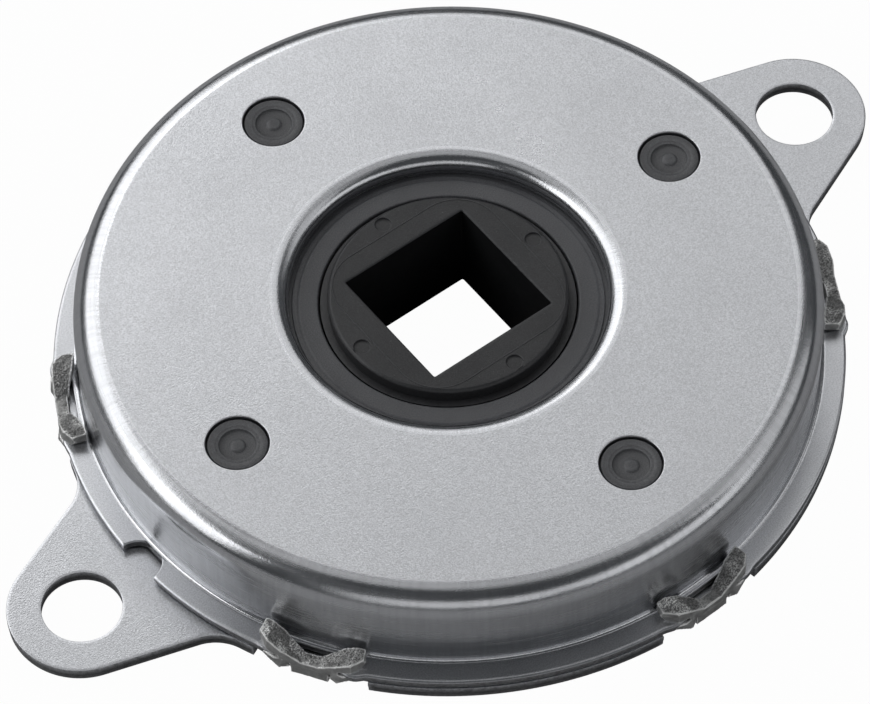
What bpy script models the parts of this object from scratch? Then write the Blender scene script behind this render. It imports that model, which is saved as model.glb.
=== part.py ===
"""Flanged rotary damper with a square drive bore.

A drawn steel cover and a steel base plate with two ears enclose a stack of thin steel
discs in silicone oil. Every second disc is keyed to the housing, the others to the hub.
Metres, +Z up. The origin is on the axis, at the underside of the base plate, and +X runs
through one ear's screw hole.
"""

import math

import bmesh
import bpy

MM = 0.001
TURN = 2 * math.pi

# Overall sizes
HEIGHT = 11.1 * MM  # base plate's underside to the cover's flat top
DOME_RADIUS = 32.8 * MM  # outside of the cover's drawn wall
FLANGE_WIDTH = 2.2 * MM  # cover's rim, beyond the drawn wall

# Sheets
BASE_SHEET = 1.4 * MM
COVER_SHEET = 0.8 * MM
DISC_SHEET = 0.5 * MM
WASHER_SHEET = 0.4 * MM

# Clearances
SEAT_GAP = 0.2 * MM  # between faces that rest on each other
FIT_GAP = 0.3 * MM  # around a piece that is located in another
RUNNING_GAP = 0.15 * MM  # hub journal in its bushes
SHEAR_FILM = 0.2 * MM  # oil between a turning disc and a fixed one
SEAL_GAP = 0.07 * MM  # around an O-ring in its groove

# Base plate's ears
EAR_HOLE_OFFSET = 6.15 * MM  # from the flange's edge to the screw hole's centre
EAR_HOLE_RADIUS = 3.5 * MM
EAR_END_RADIUS = 6.5 * MM
EAR_FLANK_ANGLE = math.radians(20)
EAR_FILLET_RADIUS = 4.0 * MM

# Crimps that close the rim: tabs of the base plate, split and splayed over the flange
CRIMP_ANGLES = [math.radians(a) for a in (30, 90, 150, 210, 270, 330)]
CRIMP_HALF_WIDTH = 4.9 * MM
CRIMP_ROOT_HALF_WIDTH = 2.5 * MM
CRIMP_LUG_HEIGHT = 1.4 * MM
CRIMP_LUG_SHEET = 1.0 * MM
CRIMP_VALLEY_HALF_WIDTH = 0.9 * MM
CRIMP_RELIEF_DEPTH = 0.8 * MM  # rim of the base plate, set back on both sides of a tab
CRIMP_INSET = 0.1 * MM  # from the rim to the tab's outer face

# Cover
COVER_CORNER_RADIUS = 2.6 * MM
COVER_FOOT_RADIUS = 0.4 * MM
LIP_RADIUS = 1.0 * MM
LIP_DEPTH = 1.9 * MM
NOTCH_RADIUS = 2.1 * MM
NOTCH_ANGLE = math.pi

# Moulded carrier that holds the fixed discs, with four pegs through the cover
PEG_CIRCLE_RADIUS = 24.2 * MM
PEG_ANGLES = [math.radians(a) for a in (-4, 90, 182, 270)]
PEG_RADIUS = 2.5 * MM
PEG_HOLE_CLEARANCE = 0.25 * MM
PEG_RECESS = 0.3 * MM  # below the cover's top
PEG_DISH_DEPTH = 0.35 * MM
CARRIER_WALL = 1.9 * MM
KEYWAY_DEPTH = 1.1 * MM
KEY_WIDTH = 6.0 * MM
KEY_COUNT = 6

# Bushes
BUSH_WALL = 2.35 * MM
BUSH_FLANGE_WIDTH = 2.5 * MM
COLLAR_RECESS = 1.8 * MM  # collar's top face below the cover's top
COLLAR_CHAMFER = 0.3 * MM

# Hub
SQUARE_SIDE = 12.8 * MM
HUB_WALL = 4.8 * MM  # from a flat of the square to the journal
BOSS_STEP = 0.65 * MM  # from the journal in to the part that shows inside the collar
BOSS_RECESS = 0.65 * MM  # hub's top face below the cover's top
BOSS_CHAMFER = 0.25 * MM
HUB_FOOT_RECESS = 0.1 * MM  # hub's lower face above the mounting face
SQUARE_CORNER_RADIUS = 0.5 * MM
SQUARE_CHAMFER = 0.25 * MM
HUB_CORE_STEP = 1.4 * MM  # from the journal out to the core that carries the discs
HUB_KEY_HEIGHT = 1.5 * MM
HUB_KEY_WIDTH = 4.0 * MM
HUB_KEY_COUNT = 4
DIMPLE_RADIUS = 0.8 * MM
DIMPLE_DEPTH = 0.3 * MM
DIMPLE_INSET = 1.15 * MM  # from the boss's edge to a dimple's centre
ROTOR_REST_TURN = math.radians(-2.5)  # of the hub and its discs about the axis

# Disc stack
ROTOR_DISC_COUNT = 3
SPACER_WIDTH = 1.7 * MM

# O-rings in the hub's grooves
HUB_SEAL_SECTION = 0.75 * MM

SEGMENTS = 60  # of a full turn, on the pieces that show
HIDDEN_SEGMENTS = 36
ROUND_STEPS = 3  # of a rounded corner
SEAL_STEPS = 6  # round an O-ring's section

# Levels along the axis
FLANGE_BOTTOM = BASE_SHEET + SEAT_GAP
FLANGE_TOP = FLANGE_BOTTOM + COVER_SHEET
COVER_UNDERSIDE = HEIGHT - COVER_SHEET
COLLAR_TOP = HEIGHT - COLLAR_RECESS
LIP_END = HEIGHT - LIP_DEPTH
STACK_MIDDLE = (BASE_SHEET + COLLAR_TOP) / 2
DISC_PITCH = 2 * (DISC_SHEET + SHEAR_FILM)
CORE_HALF_HEIGHT = ((ROTOR_DISC_COUNT - 1) * DISC_PITCH + DISC_SHEET) / 2 + SHEAR_FILM / 2
WASHER_OFFSET = CORE_HALF_HEIGHT + SEAT_GAP  # from the stack's middle to a thrust washer
BUSH_OFFSET = WASHER_OFFSET + WASHER_SHEET + SEAT_GAP
STACK_BOTTOM = STACK_MIDDLE - (ROTOR_DISC_COUNT * DISC_PITCH + DISC_SHEET) / 2
STACK_TOP = 2 * STACK_MIDDLE - STACK_BOTTOM
RIM_SEAL_SECTION = STACK_BOTTOM - BASE_SHEET - SEAT_GAP - FIT_GAP
BUSH_SEAT = BASE_SHEET + SEAT_GAP  # underside of the bottom bush's flange
BUSH_TOP = STACK_MIDDLE - BUSH_OFFSET
BUSH_FLANGE_SHEET = (BUSH_TOP - BUSH_SEAT) * 2 / 3

# Radii from the drawn wall inwards
RIM_RADIUS = DOME_RADIUS + FLANGE_WIDTH
WALL_INNER_RADIUS = DOME_RADIUS - COVER_SHEET
CRIMP_INNER_RADIUS = RIM_RADIUS - CRIMP_INSET - BASE_SHEET
CARRIER_RADIUS = WALL_INNER_RADIUS - FIT_GAP
CARRIER_INNER_RADIUS = CARRIER_RADIUS - CARRIER_WALL
FIXED_DISC_RADIUS = CARRIER_INNER_RADIUS - FIT_GAP
SPACER_INNER_RADIUS = FIXED_DISC_RADIUS - SPACER_WIDTH
TURNING_DISC_RADIUS = SPACER_INNER_RADIUS - FIT_GAP

# Radii from the hub outwards
JOURNAL_RADIUS = SQUARE_SIDE / 2 + HUB_WALL
BOSS_RADIUS = JOURNAL_RADIUS - BOSS_STEP
HUB_CORE_RADIUS = JOURNAL_RADIUS + HUB_CORE_STEP
BUSH_INNER_RADIUS = JOURNAL_RADIUS + RUNNING_GAP
BUSH_RADIUS = BUSH_INNER_RADIUS + BUSH_WALL
CENTRE_HOLE_RADIUS = BUSH_RADIUS + FIT_GAP
BUSH_FLANGE_RADIUS = BUSH_RADIUS + BUSH_FLANGE_WIDTH
WASHER_INNER_RADIUS = BUSH_INNER_RADIUS + RUNNING_GAP
HUB_KEY_RADIUS = HUB_CORE_RADIUS + HUB_KEY_HEIGHT
DISC_BORE_RADIUS = HUB_CORE_RADIUS + FIT_GAP
HUB_SPACER_RADIUS = HUB_KEY_RADIUS + 4 * FIT_GAP
FIXED_DISC_BORE_RADIUS = HUB_SPACER_RADIUS + FIT_GAP
WASHER_RADIUS = HUB_SPACER_RADIUS - SEAT_GAP
CARRIER_BORE_RADIUS = BUSH_FLANGE_RADIUS + FIT_GAP


def clear_scene():
    for obj in list(bpy.data.objects):
        bpy.data.objects.remove(obj, do_unlink=True)


def make_material(name, colour, metallic, roughness):
    material = bpy.data.materials.new(name)
    material.use_nodes = True
    shader = material.node_tree.nodes["Principled BSDF"]
    shader.inputs["Base Color"].default_value = (*colour, 1)
    shader.inputs["Metallic"].default_value = metallic
    shader.inputs["Roughness"].default_value = roughness
    return material


def mesh_from(bm, name):
    bmesh.ops.recalc_face_normals(bm, faces=bm.faces)
    mesh = bpy.data.meshes.new(name)
    bm.to_mesh(mesh)
    bm.free()
    mesh.shade_smooth()
    mesh.set_sharp_from_angle(angle=math.radians(30))
    return mesh


def place(name, mesh, material=None, z=0.0, parent=None):
    """Puts a mesh into the scene as a piece, at its height on the axis."""
    obj = bpy.data.objects.new(name, mesh)
    bpy.context.scene.collection.objects.link(obj)
    obj.location.z = z
    if parent:
        obj.parent = parent
        obj.location.z = z - parent.location.z
    if material:
        obj.data.materials.append(material)
    return obj


def combine(obj, other_mesh, operation):
    """Adds or cuts a helper shape with an exact Boolean, and keeps the helper as a hidden guide."""
    helper = place(f"{obj.name}_{other_mesh.name}", other_mesh, parent=obj.parent)
    helper.hide_render = True
    helper.display_type = "WIRE"
    modifier = obj.modifiers.new(other_mesh.name, "BOOLEAN")
    modifier.operation = operation
    modifier.object = helper
    modifier.solver = "EXACT"


def arc(centre, radius, start, end, steps):
    """Points on an arc, its two ends included."""
    angles = [start + (end - start) * i / steps for i in range(steps + 1)]
    return [(centre[0] + radius * math.cos(a), centre[1] + radius * math.sin(a)) for a in angles]


def circle(radius, segments, centre=(0.0, 0.0), start=0.0):
    return arc(centre, radius, start, start + TURN, segments)[:-1]


def turned_about(points, angle):
    c, s = math.cos(angle), math.sin(angle)
    return [(c * x - s * y, s * x + c * y) for x, y in points]


def keyed_circle(radius, key_radius, key_width, key_count, segments):
    """A round outline with straight-sided keys that reach key_radius."""
    root = math.asin(key_width / 2 / radius)
    tip = math.asin(key_width / 2 / key_radius)
    step = TURN / key_count
    steps = max(2, round(segments / key_count * (1 - 2 * root / step)))
    key = arc((0, 0), key_radius, -tip, tip, 2)
    key += arc((0, 0), radius, root, step - root, steps)
    return [point for k in range(key_count) for point in turned_about(key, k * step)]


def add_lathe(bm, profile, segments, centre=(0.0, 0.0)):
    """Turns a profile of (radius, height) points about an upright axis.

    A profile that begins and ends on the axis makes a full body, and any other a ring. The
    flats, not the corners, face +X and +Y, so that cuts there meet no corner.
    """
    solid = profile[0][0] == 0 and profile[-1][0] == 0
    start = TURN / segments / 2
    rows = []
    for radius, height in profile:
        if radius == 0:
            rows.append([bm.verts.new((centre[0], centre[1], height))] * segments)
            continue
        ring = circle(radius, segments, centre, start)
        rows.append([bm.verts.new((x, y, height)) for x, y in ring])
    pairs = list(zip(rows, rows[1:]))
    if not solid:
        pairs.append((rows[-1], rows[0]))
    for lower, upper in pairs:
        for i in range(segments):
            j = (i + 1) % segments
            corners = dict.fromkeys((lower[i], lower[j], upper[j], upper[i]))
            bm.faces.new(list(corners))


def lathe_mesh(name, profile, segments):
    bm = bmesh.new()
    add_lathe(bm, profile, segments)
    return mesh_from(bm, name)


def add_loft(bm, loops):
    """Joins outlines of equal length, each given as (points, height), and caps the two ends."""
    rows = [[bm.verts.new((x, y, height)) for x, y in points] for points, height in loops]
    count = len(rows[0])
    for lower, upper in zip(rows, rows[1:]):
        for i in range(count):
            j = (i + 1) % count
            bm.faces.new((lower[i], lower[j], upper[j], upper[i]))
    bm.faces.new(rows[0][::-1])
    bm.faces.new(rows[-1])


def plate_mesh(name, outlines, height):
    """A flat plate from z = 0 up: the first outline is its edge, and the others are holes."""
    bm = bmesh.new()
    edges = []
    for points in outlines:
        row = [bm.verts.new((x, y, 0)) for x, y in points]
        edges += [bm.edges.new((a, b)) for a, b in zip(row, row[1:] + row[:1])]
    filled = bmesh.ops.triangle_fill(bm, edges=edges, use_beauty=True, normal=(0, 0, 1))
    faces = [item for item in filled["geom"] if isinstance(item, bmesh.types.BMFace)]
    top = bmesh.ops.extrude_face_region(bm, geom=faces, use_keep_orig=True)["geom"]
    raised = [item for item in top if isinstance(item, bmesh.types.BMVert)]
    bmesh.ops.translate(bm, verts=raised, vec=(0, 0, height))
    return mesh_from(bm, name)


def rim_arc(radius, start, end):
    """A stretch of the rim, about the origin, as finely stepped as a turned piece."""
    steps = max(2, round((end - start) / TURN * SEGMENTS))
    return arc((0, 0), radius, start, end, steps)


def ear_side():
    """Half of the base plate's outline, from the far side of one ear to the start of the next."""
    hole = (RIM_RADIUS + EAR_HOLE_OFFSET, 0.0)
    normal = math.pi / 2 - EAR_FLANK_ANGLE
    flank = hole[0] * math.cos(normal) + EAR_END_RADIUS
    reach = RIM_RADIUS + EAR_FILLET_RADIUS
    foot = normal - math.acos((flank + EAR_FILLET_RADIUS) / reach)
    fillet_centre = (reach * math.cos(foot), reach * math.sin(foot))
    fillet = arc(fillet_centre, EAR_FILLET_RADIUS, normal + math.pi, foot + math.pi, 6)
    mirrored = [(x, -y) for x, y in fillet[::-1]]
    end = arc(hole, EAR_END_RADIUS, -normal, normal, 16)

    relief = RIM_RADIUS - CRIMP_RELIEF_DEPTH
    half_relief = math.asin((CRIMP_HALF_WIDTH + FIT_GAP) / RIM_RADIUS)
    rim, start = [], foot
    for angle in [a for a in CRIMP_ANGLES if a < math.pi]:
        rim += rim_arc(RIM_RADIUS, start, angle - half_relief)
        rim += rim_arc(relief, angle - half_relief, angle + half_relief)
        start = angle + half_relief
    rim += rim_arc(RIM_RADIUS, start, math.pi - foot)
    return mirrored + end + fillet + rim[1:-1]


def crimp_mesh():
    """All crimp tabs: each rises through the flange and splits into two lugs that lie over it."""
    bm = bmesh.new()
    under = FLANGE_TOP + SEAT_GAP
    top = FLANGE_TOP + CRIMP_LUG_HEIGHT + SEAT_GAP
    half = [
        (CRIMP_ROOT_HALF_WIDTH, BASE_SHEET / 2),
        (CRIMP_ROOT_HALF_WIDTH, under),
        (CRIMP_HALF_WIDTH, under + CRIMP_LUG_HEIGHT - CRIMP_LUG_SHEET),
        (CRIMP_HALF_WIDTH, top - CRIMP_LUG_SHEET / 3),
        (CRIMP_HALF_WIDTH - CRIMP_LUG_SHEET, top),
        (CRIMP_VALLEY_HALF_WIDTH, under),
    ]
    outline = half + [(-across, height) for across, height in half[::-1]]
    radii = (CRIMP_INNER_RADIUS, RIM_RADIUS - CRIMP_INSET)
    for angle in CRIMP_ANGLES:
        c, s = math.cos(angle), math.sin(angle)
        rows = [
            [bm.verts.new((c * r - s * across, s * r + c * across, z)) for across, z in outline]
            for r in radii
        ]
        for i in range(len(outline)):
            j = (i + 1) % len(outline)
            bm.faces.new((rows[0][i], rows[0][j], rows[1][j], rows[1][i]))
        for row in rows:
            bm.faces.new(row)
    return mesh_from(bm, "crimps")


def make_base_plate(steel):
    half = ear_side()
    outline = half + turned_about(half, math.pi)
    hole_x = RIM_RADIUS + EAR_HOLE_OFFSET
    holes = [circle(CENTRE_HOLE_RADIUS, SEGMENTS)]
    holes += [circle(EAR_HOLE_RADIUS, 32, (side * hole_x, 0)) for side in (1, -1)]
    plate = place("base_plate", plate_mesh("base_plate", [outline] + holes, BASE_SHEET), steel)
    combine(plate, crimp_mesh(), "UNION")


def cover_profile():
    corner = DOME_RADIUS - COVER_CORNER_RADIUS
    lip = CENTRE_HOLE_RADIUS + LIP_RADIUS
    foot = DOME_RADIUS + COVER_FOOT_RADIUS
    foot_inner = COVER_FOOT_RADIUS + COVER_SHEET
    quarter = math.pi / 2
    profile = [(CENTRE_HOLE_RADIUS, LIP_END)]
    profile += arc((lip, HEIGHT - LIP_RADIUS), LIP_RADIUS, 2 * quarter, quarter, ROUND_STEPS)
    profile += arc(
        (corner, HEIGHT - COVER_CORNER_RADIUS), COVER_CORNER_RADIUS, quarter, 0, ROUND_STEPS + 1
    )
    profile += arc((foot, FLANGE_TOP + COVER_FOOT_RADIUS), COVER_FOOT_RADIUS, 2 * quarter, 3 * quarter, 2)
    profile += [(RIM_RADIUS, FLANGE_TOP), (RIM_RADIUS, FLANGE_BOTTOM)]
    profile += arc((foot, FLANGE_BOTTOM + foot_inner), foot_inner, 3 * quarter, 2 * quarter, 2)
    inner = COVER_CORNER_RADIUS - COVER_SHEET
    profile += arc((corner, HEIGHT - COVER_CORNER_RADIUS), inner, 0, quarter, ROUND_STEPS)
    inner = LIP_RADIUS - COVER_SHEET
    profile += arc((lip, HEIGHT - LIP_RADIUS), inner, quarter, 2 * quarter, 1)
    profile += [(CENTRE_HOLE_RADIUS + COVER_SHEET, LIP_END)]
    return profile


def peg_places():
    return [turned_about([(PEG_CIRCLE_RADIUS, 0)], angle)[0] for angle in PEG_ANGLES]


def make_cover(steel):
    cover = place("cover", lathe_mesh("cover", cover_profile(), SEGMENTS), steel)

    bm = bmesh.new()
    for x, y in peg_places():
        outline = circle(PEG_RADIUS + PEG_HOLE_CLEARANCE, 24, (x, y))
        add_loft(bm, [(outline, COVER_UNDERSIDE - 2 * SEAT_GAP), (outline, HEIGHT + SEAT_GAP)])
    combine(cover, mesh_from(bm, "peg_holes"), "DIFFERENCE")

    bm = bmesh.new()
    low, high = FLANGE_BOTTOM - SEAT_GAP, FLANGE_TOP + SEAT_GAP / 2
    across = CRIMP_ROOT_HALF_WIDTH + FIT_GAP
    inner = CRIMP_INNER_RADIUS - FIT_GAP
    slot = [(inner, -across), (RIM_RADIUS + MM, -across), (RIM_RADIUS + MM, across), (inner, across)]
    for angle in CRIMP_ANGLES:
        outline = turned_about(slot, angle)
        add_loft(bm, [(outline, low), (outline, high)])
    notch = (RIM_RADIUS * math.cos(NOTCH_ANGLE), RIM_RADIUS * math.sin(NOTCH_ANGLE))
    outline = circle(NOTCH_RADIUS, 24, notch)
    add_loft(bm, [(outline, low), (outline, high)])
    combine(cover, mesh_from(bm, "rim_cuts"), "DIFFERENCE")


def make_carrier(plastic):
    """The moulded cup, open downwards: a wall round the discs, a top plate and four pegs."""
    bottom = BASE_SHEET + SEAT_GAP
    plate_bottom = STACK_TOP + SEAT_GAP
    plate_top = COVER_UNDERSIDE - SEAT_GAP
    rebate = RIM_SEAL_SECTION + 2 * SEAL_GAP
    corner = COVER_CORNER_RADIUS - COVER_SHEET
    profile = [(CARRIER_RADIUS - rebate, bottom), (CARRIER_RADIUS - rebate, bottom + rebate)]
    profile += [(CARRIER_RADIUS, bottom + rebate)]
    profile += arc((CARRIER_RADIUS - corner, plate_top - corner), corner, 0, math.pi / 2, ROUND_STEPS)
    profile += [(CARRIER_BORE_RADIUS, plate_top), (CARRIER_BORE_RADIUS, plate_bottom)]
    profile += [(CARRIER_INNER_RADIUS, plate_bottom), (CARRIER_INNER_RADIUS, bottom)]
    carrier = place("disc_carrier", lathe_mesh("disc_carrier", profile, SEGMENTS), plastic)

    bm = bmesh.new()
    peg_top = HEIGHT - PEG_RECESS
    root = (plate_bottom + plate_top) / 2
    dish = PEG_RADIUS * 0.56
    peg = [(0, root), (PEG_RADIUS, root), (PEG_RADIUS, peg_top), (dish, peg_top)]
    peg += [(dish * 0.8, peg_top - PEG_DISH_DEPTH), (0, peg_top - PEG_DISH_DEPTH)]
    for centre in peg_places():
        add_lathe(bm, peg, 20, centre)
    combine(carrier, mesh_from(bm, "pegs"), "UNION")

    bm = bmesh.new()
    inner, outer = CARRIER_INNER_RADIUS - FIT_GAP, CARRIER_INNER_RADIUS + KEYWAY_DEPTH
    across = KEY_WIDTH / 2 + FIT_GAP
    keyway = [(inner, -across), (outer, -across), (outer, across), (inner, across)]
    for k in range(KEY_COUNT):
        outline = turned_about(keyway, TURN * k / KEY_COUNT)
        add_loft(bm, [(outline, bottom - FIT_GAP), (outline, plate_bottom)])
    combine(carrier, mesh_from(bm, "keyways"), "DIFFERENCE")


def make_bushes(plastic):
    """The collar that shows round the hub on top, and its partner in the base plate."""
    flange_top = LIP_END - SEAT_GAP
    bottom = STACK_MIDDLE + BUSH_OFFSET
    collar = [(BUSH_INNER_RADIUS, bottom), (BUSH_FLANGE_RADIUS, bottom)]
    collar += [(BUSH_FLANGE_RADIUS, flange_top), (BUSH_RADIUS, flange_top)]
    collar += [(BUSH_RADIUS, COLLAR_TOP - COLLAR_CHAMFER)]
    collar += [(BUSH_RADIUS - COLLAR_CHAMFER, COLLAR_TOP), (BUSH_INNER_RADIUS, COLLAR_TOP)]
    place("top_collar", lathe_mesh("top_collar", collar, SEGMENTS), plastic)

    flange_top = BUSH_SEAT + BUSH_FLANGE_SHEET
    bush = [(BUSH_INNER_RADIUS, SEAT_GAP), (BUSH_RADIUS, SEAT_GAP), (BUSH_RADIUS, BUSH_SEAT)]
    bush += [(BUSH_FLANGE_RADIUS, BUSH_SEAT), (BUSH_FLANGE_RADIUS, flange_top)]
    bush += [(BUSH_RADIUS, flange_top), (BUSH_RADIUS, BUSH_TOP), (BUSH_INNER_RADIUS, BUSH_TOP)]
    place("bottom_bush", lathe_mesh("bottom_bush", bush, SEGMENTS), plastic)


def seal_levels():
    """Middles of the two O-ring grooves in the hub."""
    half = HUB_SEAL_SECTION / 2 + SEAL_GAP
    return BASE_SHEET / 2 + half, COLLAR_TOP - 2 * SEAT_GAP - half


def make_hub(plastic, axis):
    foot, top = HUB_FOOT_RECESS, HEIGHT - BOSS_RECESS
    journal_top = COLLAR_TOP - SEAT_GAP
    half = HUB_SEAL_SECTION / 2 + SEAL_GAP
    groove = JOURNAL_RADIUS - HUB_SEAL_SECTION
    profile = [(0, foot), (JOURNAL_RADIUS, foot)]
    for level in seal_levels():
        profile += [(JOURNAL_RADIUS, level - half), (groove, level - half)]
        profile += [(groove, level + half), (JOURNAL_RADIUS, level + half)]
    profile += [(JOURNAL_RADIUS, journal_top), (BOSS_RADIUS, journal_top)]
    profile += [(BOSS_RADIUS, top - BOSS_CHAMFER), (BOSS_RADIUS - BOSS_CHAMFER, top), (0, top)]
    hub = place("rotor_hub", lathe_mesh("rotor_hub", profile, SEGMENTS), plastic, parent=axis)

    outline = keyed_circle(
        HUB_CORE_RADIUS, HUB_KEY_RADIUS, HUB_KEY_WIDTH, HUB_KEY_COUNT, HIDDEN_SEGMENTS
    )
    bm = bmesh.new()
    levels = (STACK_MIDDLE - CORE_HALF_HEIGHT, STACK_MIDDLE + CORE_HALF_HEIGHT)
    add_loft(bm, [(outline, level) for level in levels])
    combine(hub, mesh_from(bm, "keyed_core"), "UNION")

    bm = bmesh.new()
    for x, y in circle(BOSS_RADIUS - DIMPLE_INSET, 4):
        outline = circle(DIMPLE_RADIUS, 12, (x, y))
        add_loft(bm, [(outline, top - DIMPLE_DEPTH), (outline, top + SEAT_GAP)])
    combine(hub, mesh_from(bm, "dimples"), "DIFFERENCE")

    bm = bmesh.new()
    wide = SQUARE_SIDE / 2 + SQUARE_CHAMFER + SEAT_GAP
    loops = [
        (square(wide), foot - SEAT_GAP),
        (square(SQUARE_SIDE / 2), foot + SQUARE_CHAMFER),
        (square(SQUARE_SIDE / 2), top - SQUARE_CHAMFER),
        (square(wide), top + SEAT_GAP),
    ]
    add_loft(bm, loops)
    combine(hub, mesh_from(bm, "square_bore"), "DIFFERENCE")


def square(half_side):
    """A square outline with rounded corners."""
    inset = half_side - SQUARE_CORNER_RADIUS
    corner = arc((inset, inset), SQUARE_CORNER_RADIUS, 0, math.pi / 2, 2)
    return [point for k in range(4) for point in turned_about(corner, k * math.pi / 2)]


def make_disc_stack(steel, plastic, axis):
    """Discs from the bottom up: a fixed one first and last, and turning ones between them."""
    fixed_outline = keyed_circle(
        FIXED_DISC_RADIUS,
        CARRIER_INNER_RADIUS + KEYWAY_DEPTH - FIT_GAP,
        KEY_WIDTH,
        KEY_COUNT,
        HIDDEN_SEGMENTS,
    )
    hub_outline = keyed_circle(
        DISC_BORE_RADIUS,
        HUB_KEY_RADIUS + FIT_GAP,
        HUB_KEY_WIDTH + 2 * FIT_GAP,
        HUB_KEY_COUNT,
        HIDDEN_SEGMENTS,
    )
    fixed_outlines = [fixed_outline, circle(FIXED_DISC_BORE_RADIUS, HIDDEN_SEGMENTS)]
    fixed_mesh = plate_mesh("fixed_disc", fixed_outlines, DISC_SHEET)
    turning_outlines = [circle(TURNING_DISC_RADIUS, HIDDEN_SEGMENTS), hub_outline]
    turning_mesh = plate_mesh("turning_disc", turning_outlines, DISC_SHEET)
    fixed_mesh.materials.append(steel)
    turning_mesh.materials.append(steel)

    spacer_height = DISC_PITCH - DISC_SHEET - 2 * SHEAR_FILM / 2
    ring = [circle(FIXED_DISC_RADIUS, HIDDEN_SEGMENTS), circle(SPACER_INNER_RADIUS, HIDDEN_SEGMENTS)]
    spacer_mesh = plate_mesh("fixed_spacer", ring, spacer_height)
    hub_ring = [circle(HUB_SPACER_RADIUS, HIDDEN_SEGMENTS), hub_outline]
    hub_spacer_mesh = plate_mesh("turning_spacer", hub_ring, spacer_height)
    spacer_mesh.materials.append(steel)
    hub_spacer_mesh.materials.append(steel)

    for k in range(ROTOR_DISC_COUNT + 1):
        place(f"fixed_disc_{k + 1}", fixed_mesh, z=STACK_BOTTOM + k * DISC_PITCH)
    for k in range(ROTOR_DISC_COUNT):
        level = STACK_BOTTOM + k * DISC_PITCH + DISC_SHEET + SHEAR_FILM / 2
        place(f"fixed_spacer_{k + 1}", spacer_mesh, z=level)
        turning = STACK_BOTTOM + (k + 0.5) * DISC_PITCH
        place(f"turning_disc_{k + 1}", turning_mesh, z=turning, parent=axis)
        if k < ROTOR_DISC_COUNT - 1:
            level = turning + DISC_SHEET + SHEAR_FILM / 2
            place(f"turning_spacer_{k + 1}", hub_spacer_mesh, z=level, parent=axis)

    floor = BASE_SHEET + SEAT_GAP
    support = lathe_ring(SPACER_INNER_RADIUS, FIXED_DISC_RADIUS, STACK_BOTTOM - SEAT_GAP - floor)
    place("stack_support_ring", lathe_mesh("stack_support_ring", support, HIDDEN_SEGMENTS), plastic, z=floor)


def lathe_ring(inner, outer, height):
    return [(inner, 0), (outer, 0), (outer, height), (inner, height)]


def make_thrust_washers(plastic):
    ring = lathe_ring(WASHER_INNER_RADIUS, WASHER_RADIUS, WASHER_SHEET)
    mesh = lathe_mesh("thrust_washer", ring, HIDDEN_SEGMENTS)
    mesh.materials.append(plastic)
    place("top_thrust_washer", mesh, z=STACK_MIDDLE + WASHER_OFFSET)
    place("bottom_thrust_washer", mesh, z=STACK_MIDDLE - WASHER_OFFSET - WASHER_SHEET)


def make_seals(rubber, axis):
    section = HUB_SEAL_SECTION / 2
    middle = JOURNAL_RADIUS - section + SEAL_GAP / 2
    mesh = lathe_mesh("hub_seal", circle(section, SEAL_STEPS, (middle, 0)), HIDDEN_SEGMENTS)
    mesh.materials.append(rubber)
    for name, level in zip(("bottom_hub_seal", "top_hub_seal"), seal_levels()):
        place(name, mesh, z=level, parent=axis)

    section = RIM_SEAL_SECTION / 2
    centre = (CARRIER_RADIUS - section, BASE_SHEET + SEAT_GAP + SEAL_GAP + section)
    place("rim_seal", lathe_mesh("rim_seal", circle(section, SEAL_STEPS, centre), HIDDEN_SEGMENTS), rubber)


def main():
    clear_scene()
    zinc_steel = make_material("zinc_plated_steel", (0.62, 0.64, 0.67), 1.0, 0.32)
    disc_steel = make_material("disc_steel", (0.45, 0.45, 0.46), 1.0, 0.4)
    black_plastic = make_material("black_plastic", (0.035, 0.036, 0.04), 0.0, 0.5)
    grey_plastic = make_material("dark_grey_plastic", (0.075, 0.077, 0.08), 0.0, 0.5)
    rubber = make_material("seal_rubber", (0.012, 0.012, 0.012), 0.0, 0.7)

    rotor_axis = bpy.data.objects.new("rotor_axis", None)
    rotor_axis.rotation_euler.z = ROTOR_REST_TURN
    bpy.context.scene.collection.objects.link(rotor_axis)

    make_base_plate(zinc_steel)
    make_cover(zinc_steel)
    make_carrier(black_plastic)
    make_bushes(grey_plastic)
    make_hub(black_plastic, rotor_axis)
    make_disc_stack(disc_steel, black_plastic, rotor_axis)
    make_thrust_washers(grey_plastic)
    make_seals(rubber, rotor_axis)


main()
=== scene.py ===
"""Looks of a flanged rotary damper with a square drive bore.

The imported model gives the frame, the bodies and the box. Each operator makes one piece, or a
group of like pieces, with its finish, and the stage operator makes floor, lights and camera.
Metres, +Z up, the hub's axis on Z.
"""

import math
import random

import bmesh
import bpy
import numpy as np
from bpy.props import FloatProperty, FloatVectorProperty, IntProperty, PointerProperty
from mathutils import Matrix, Vector, noise


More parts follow.
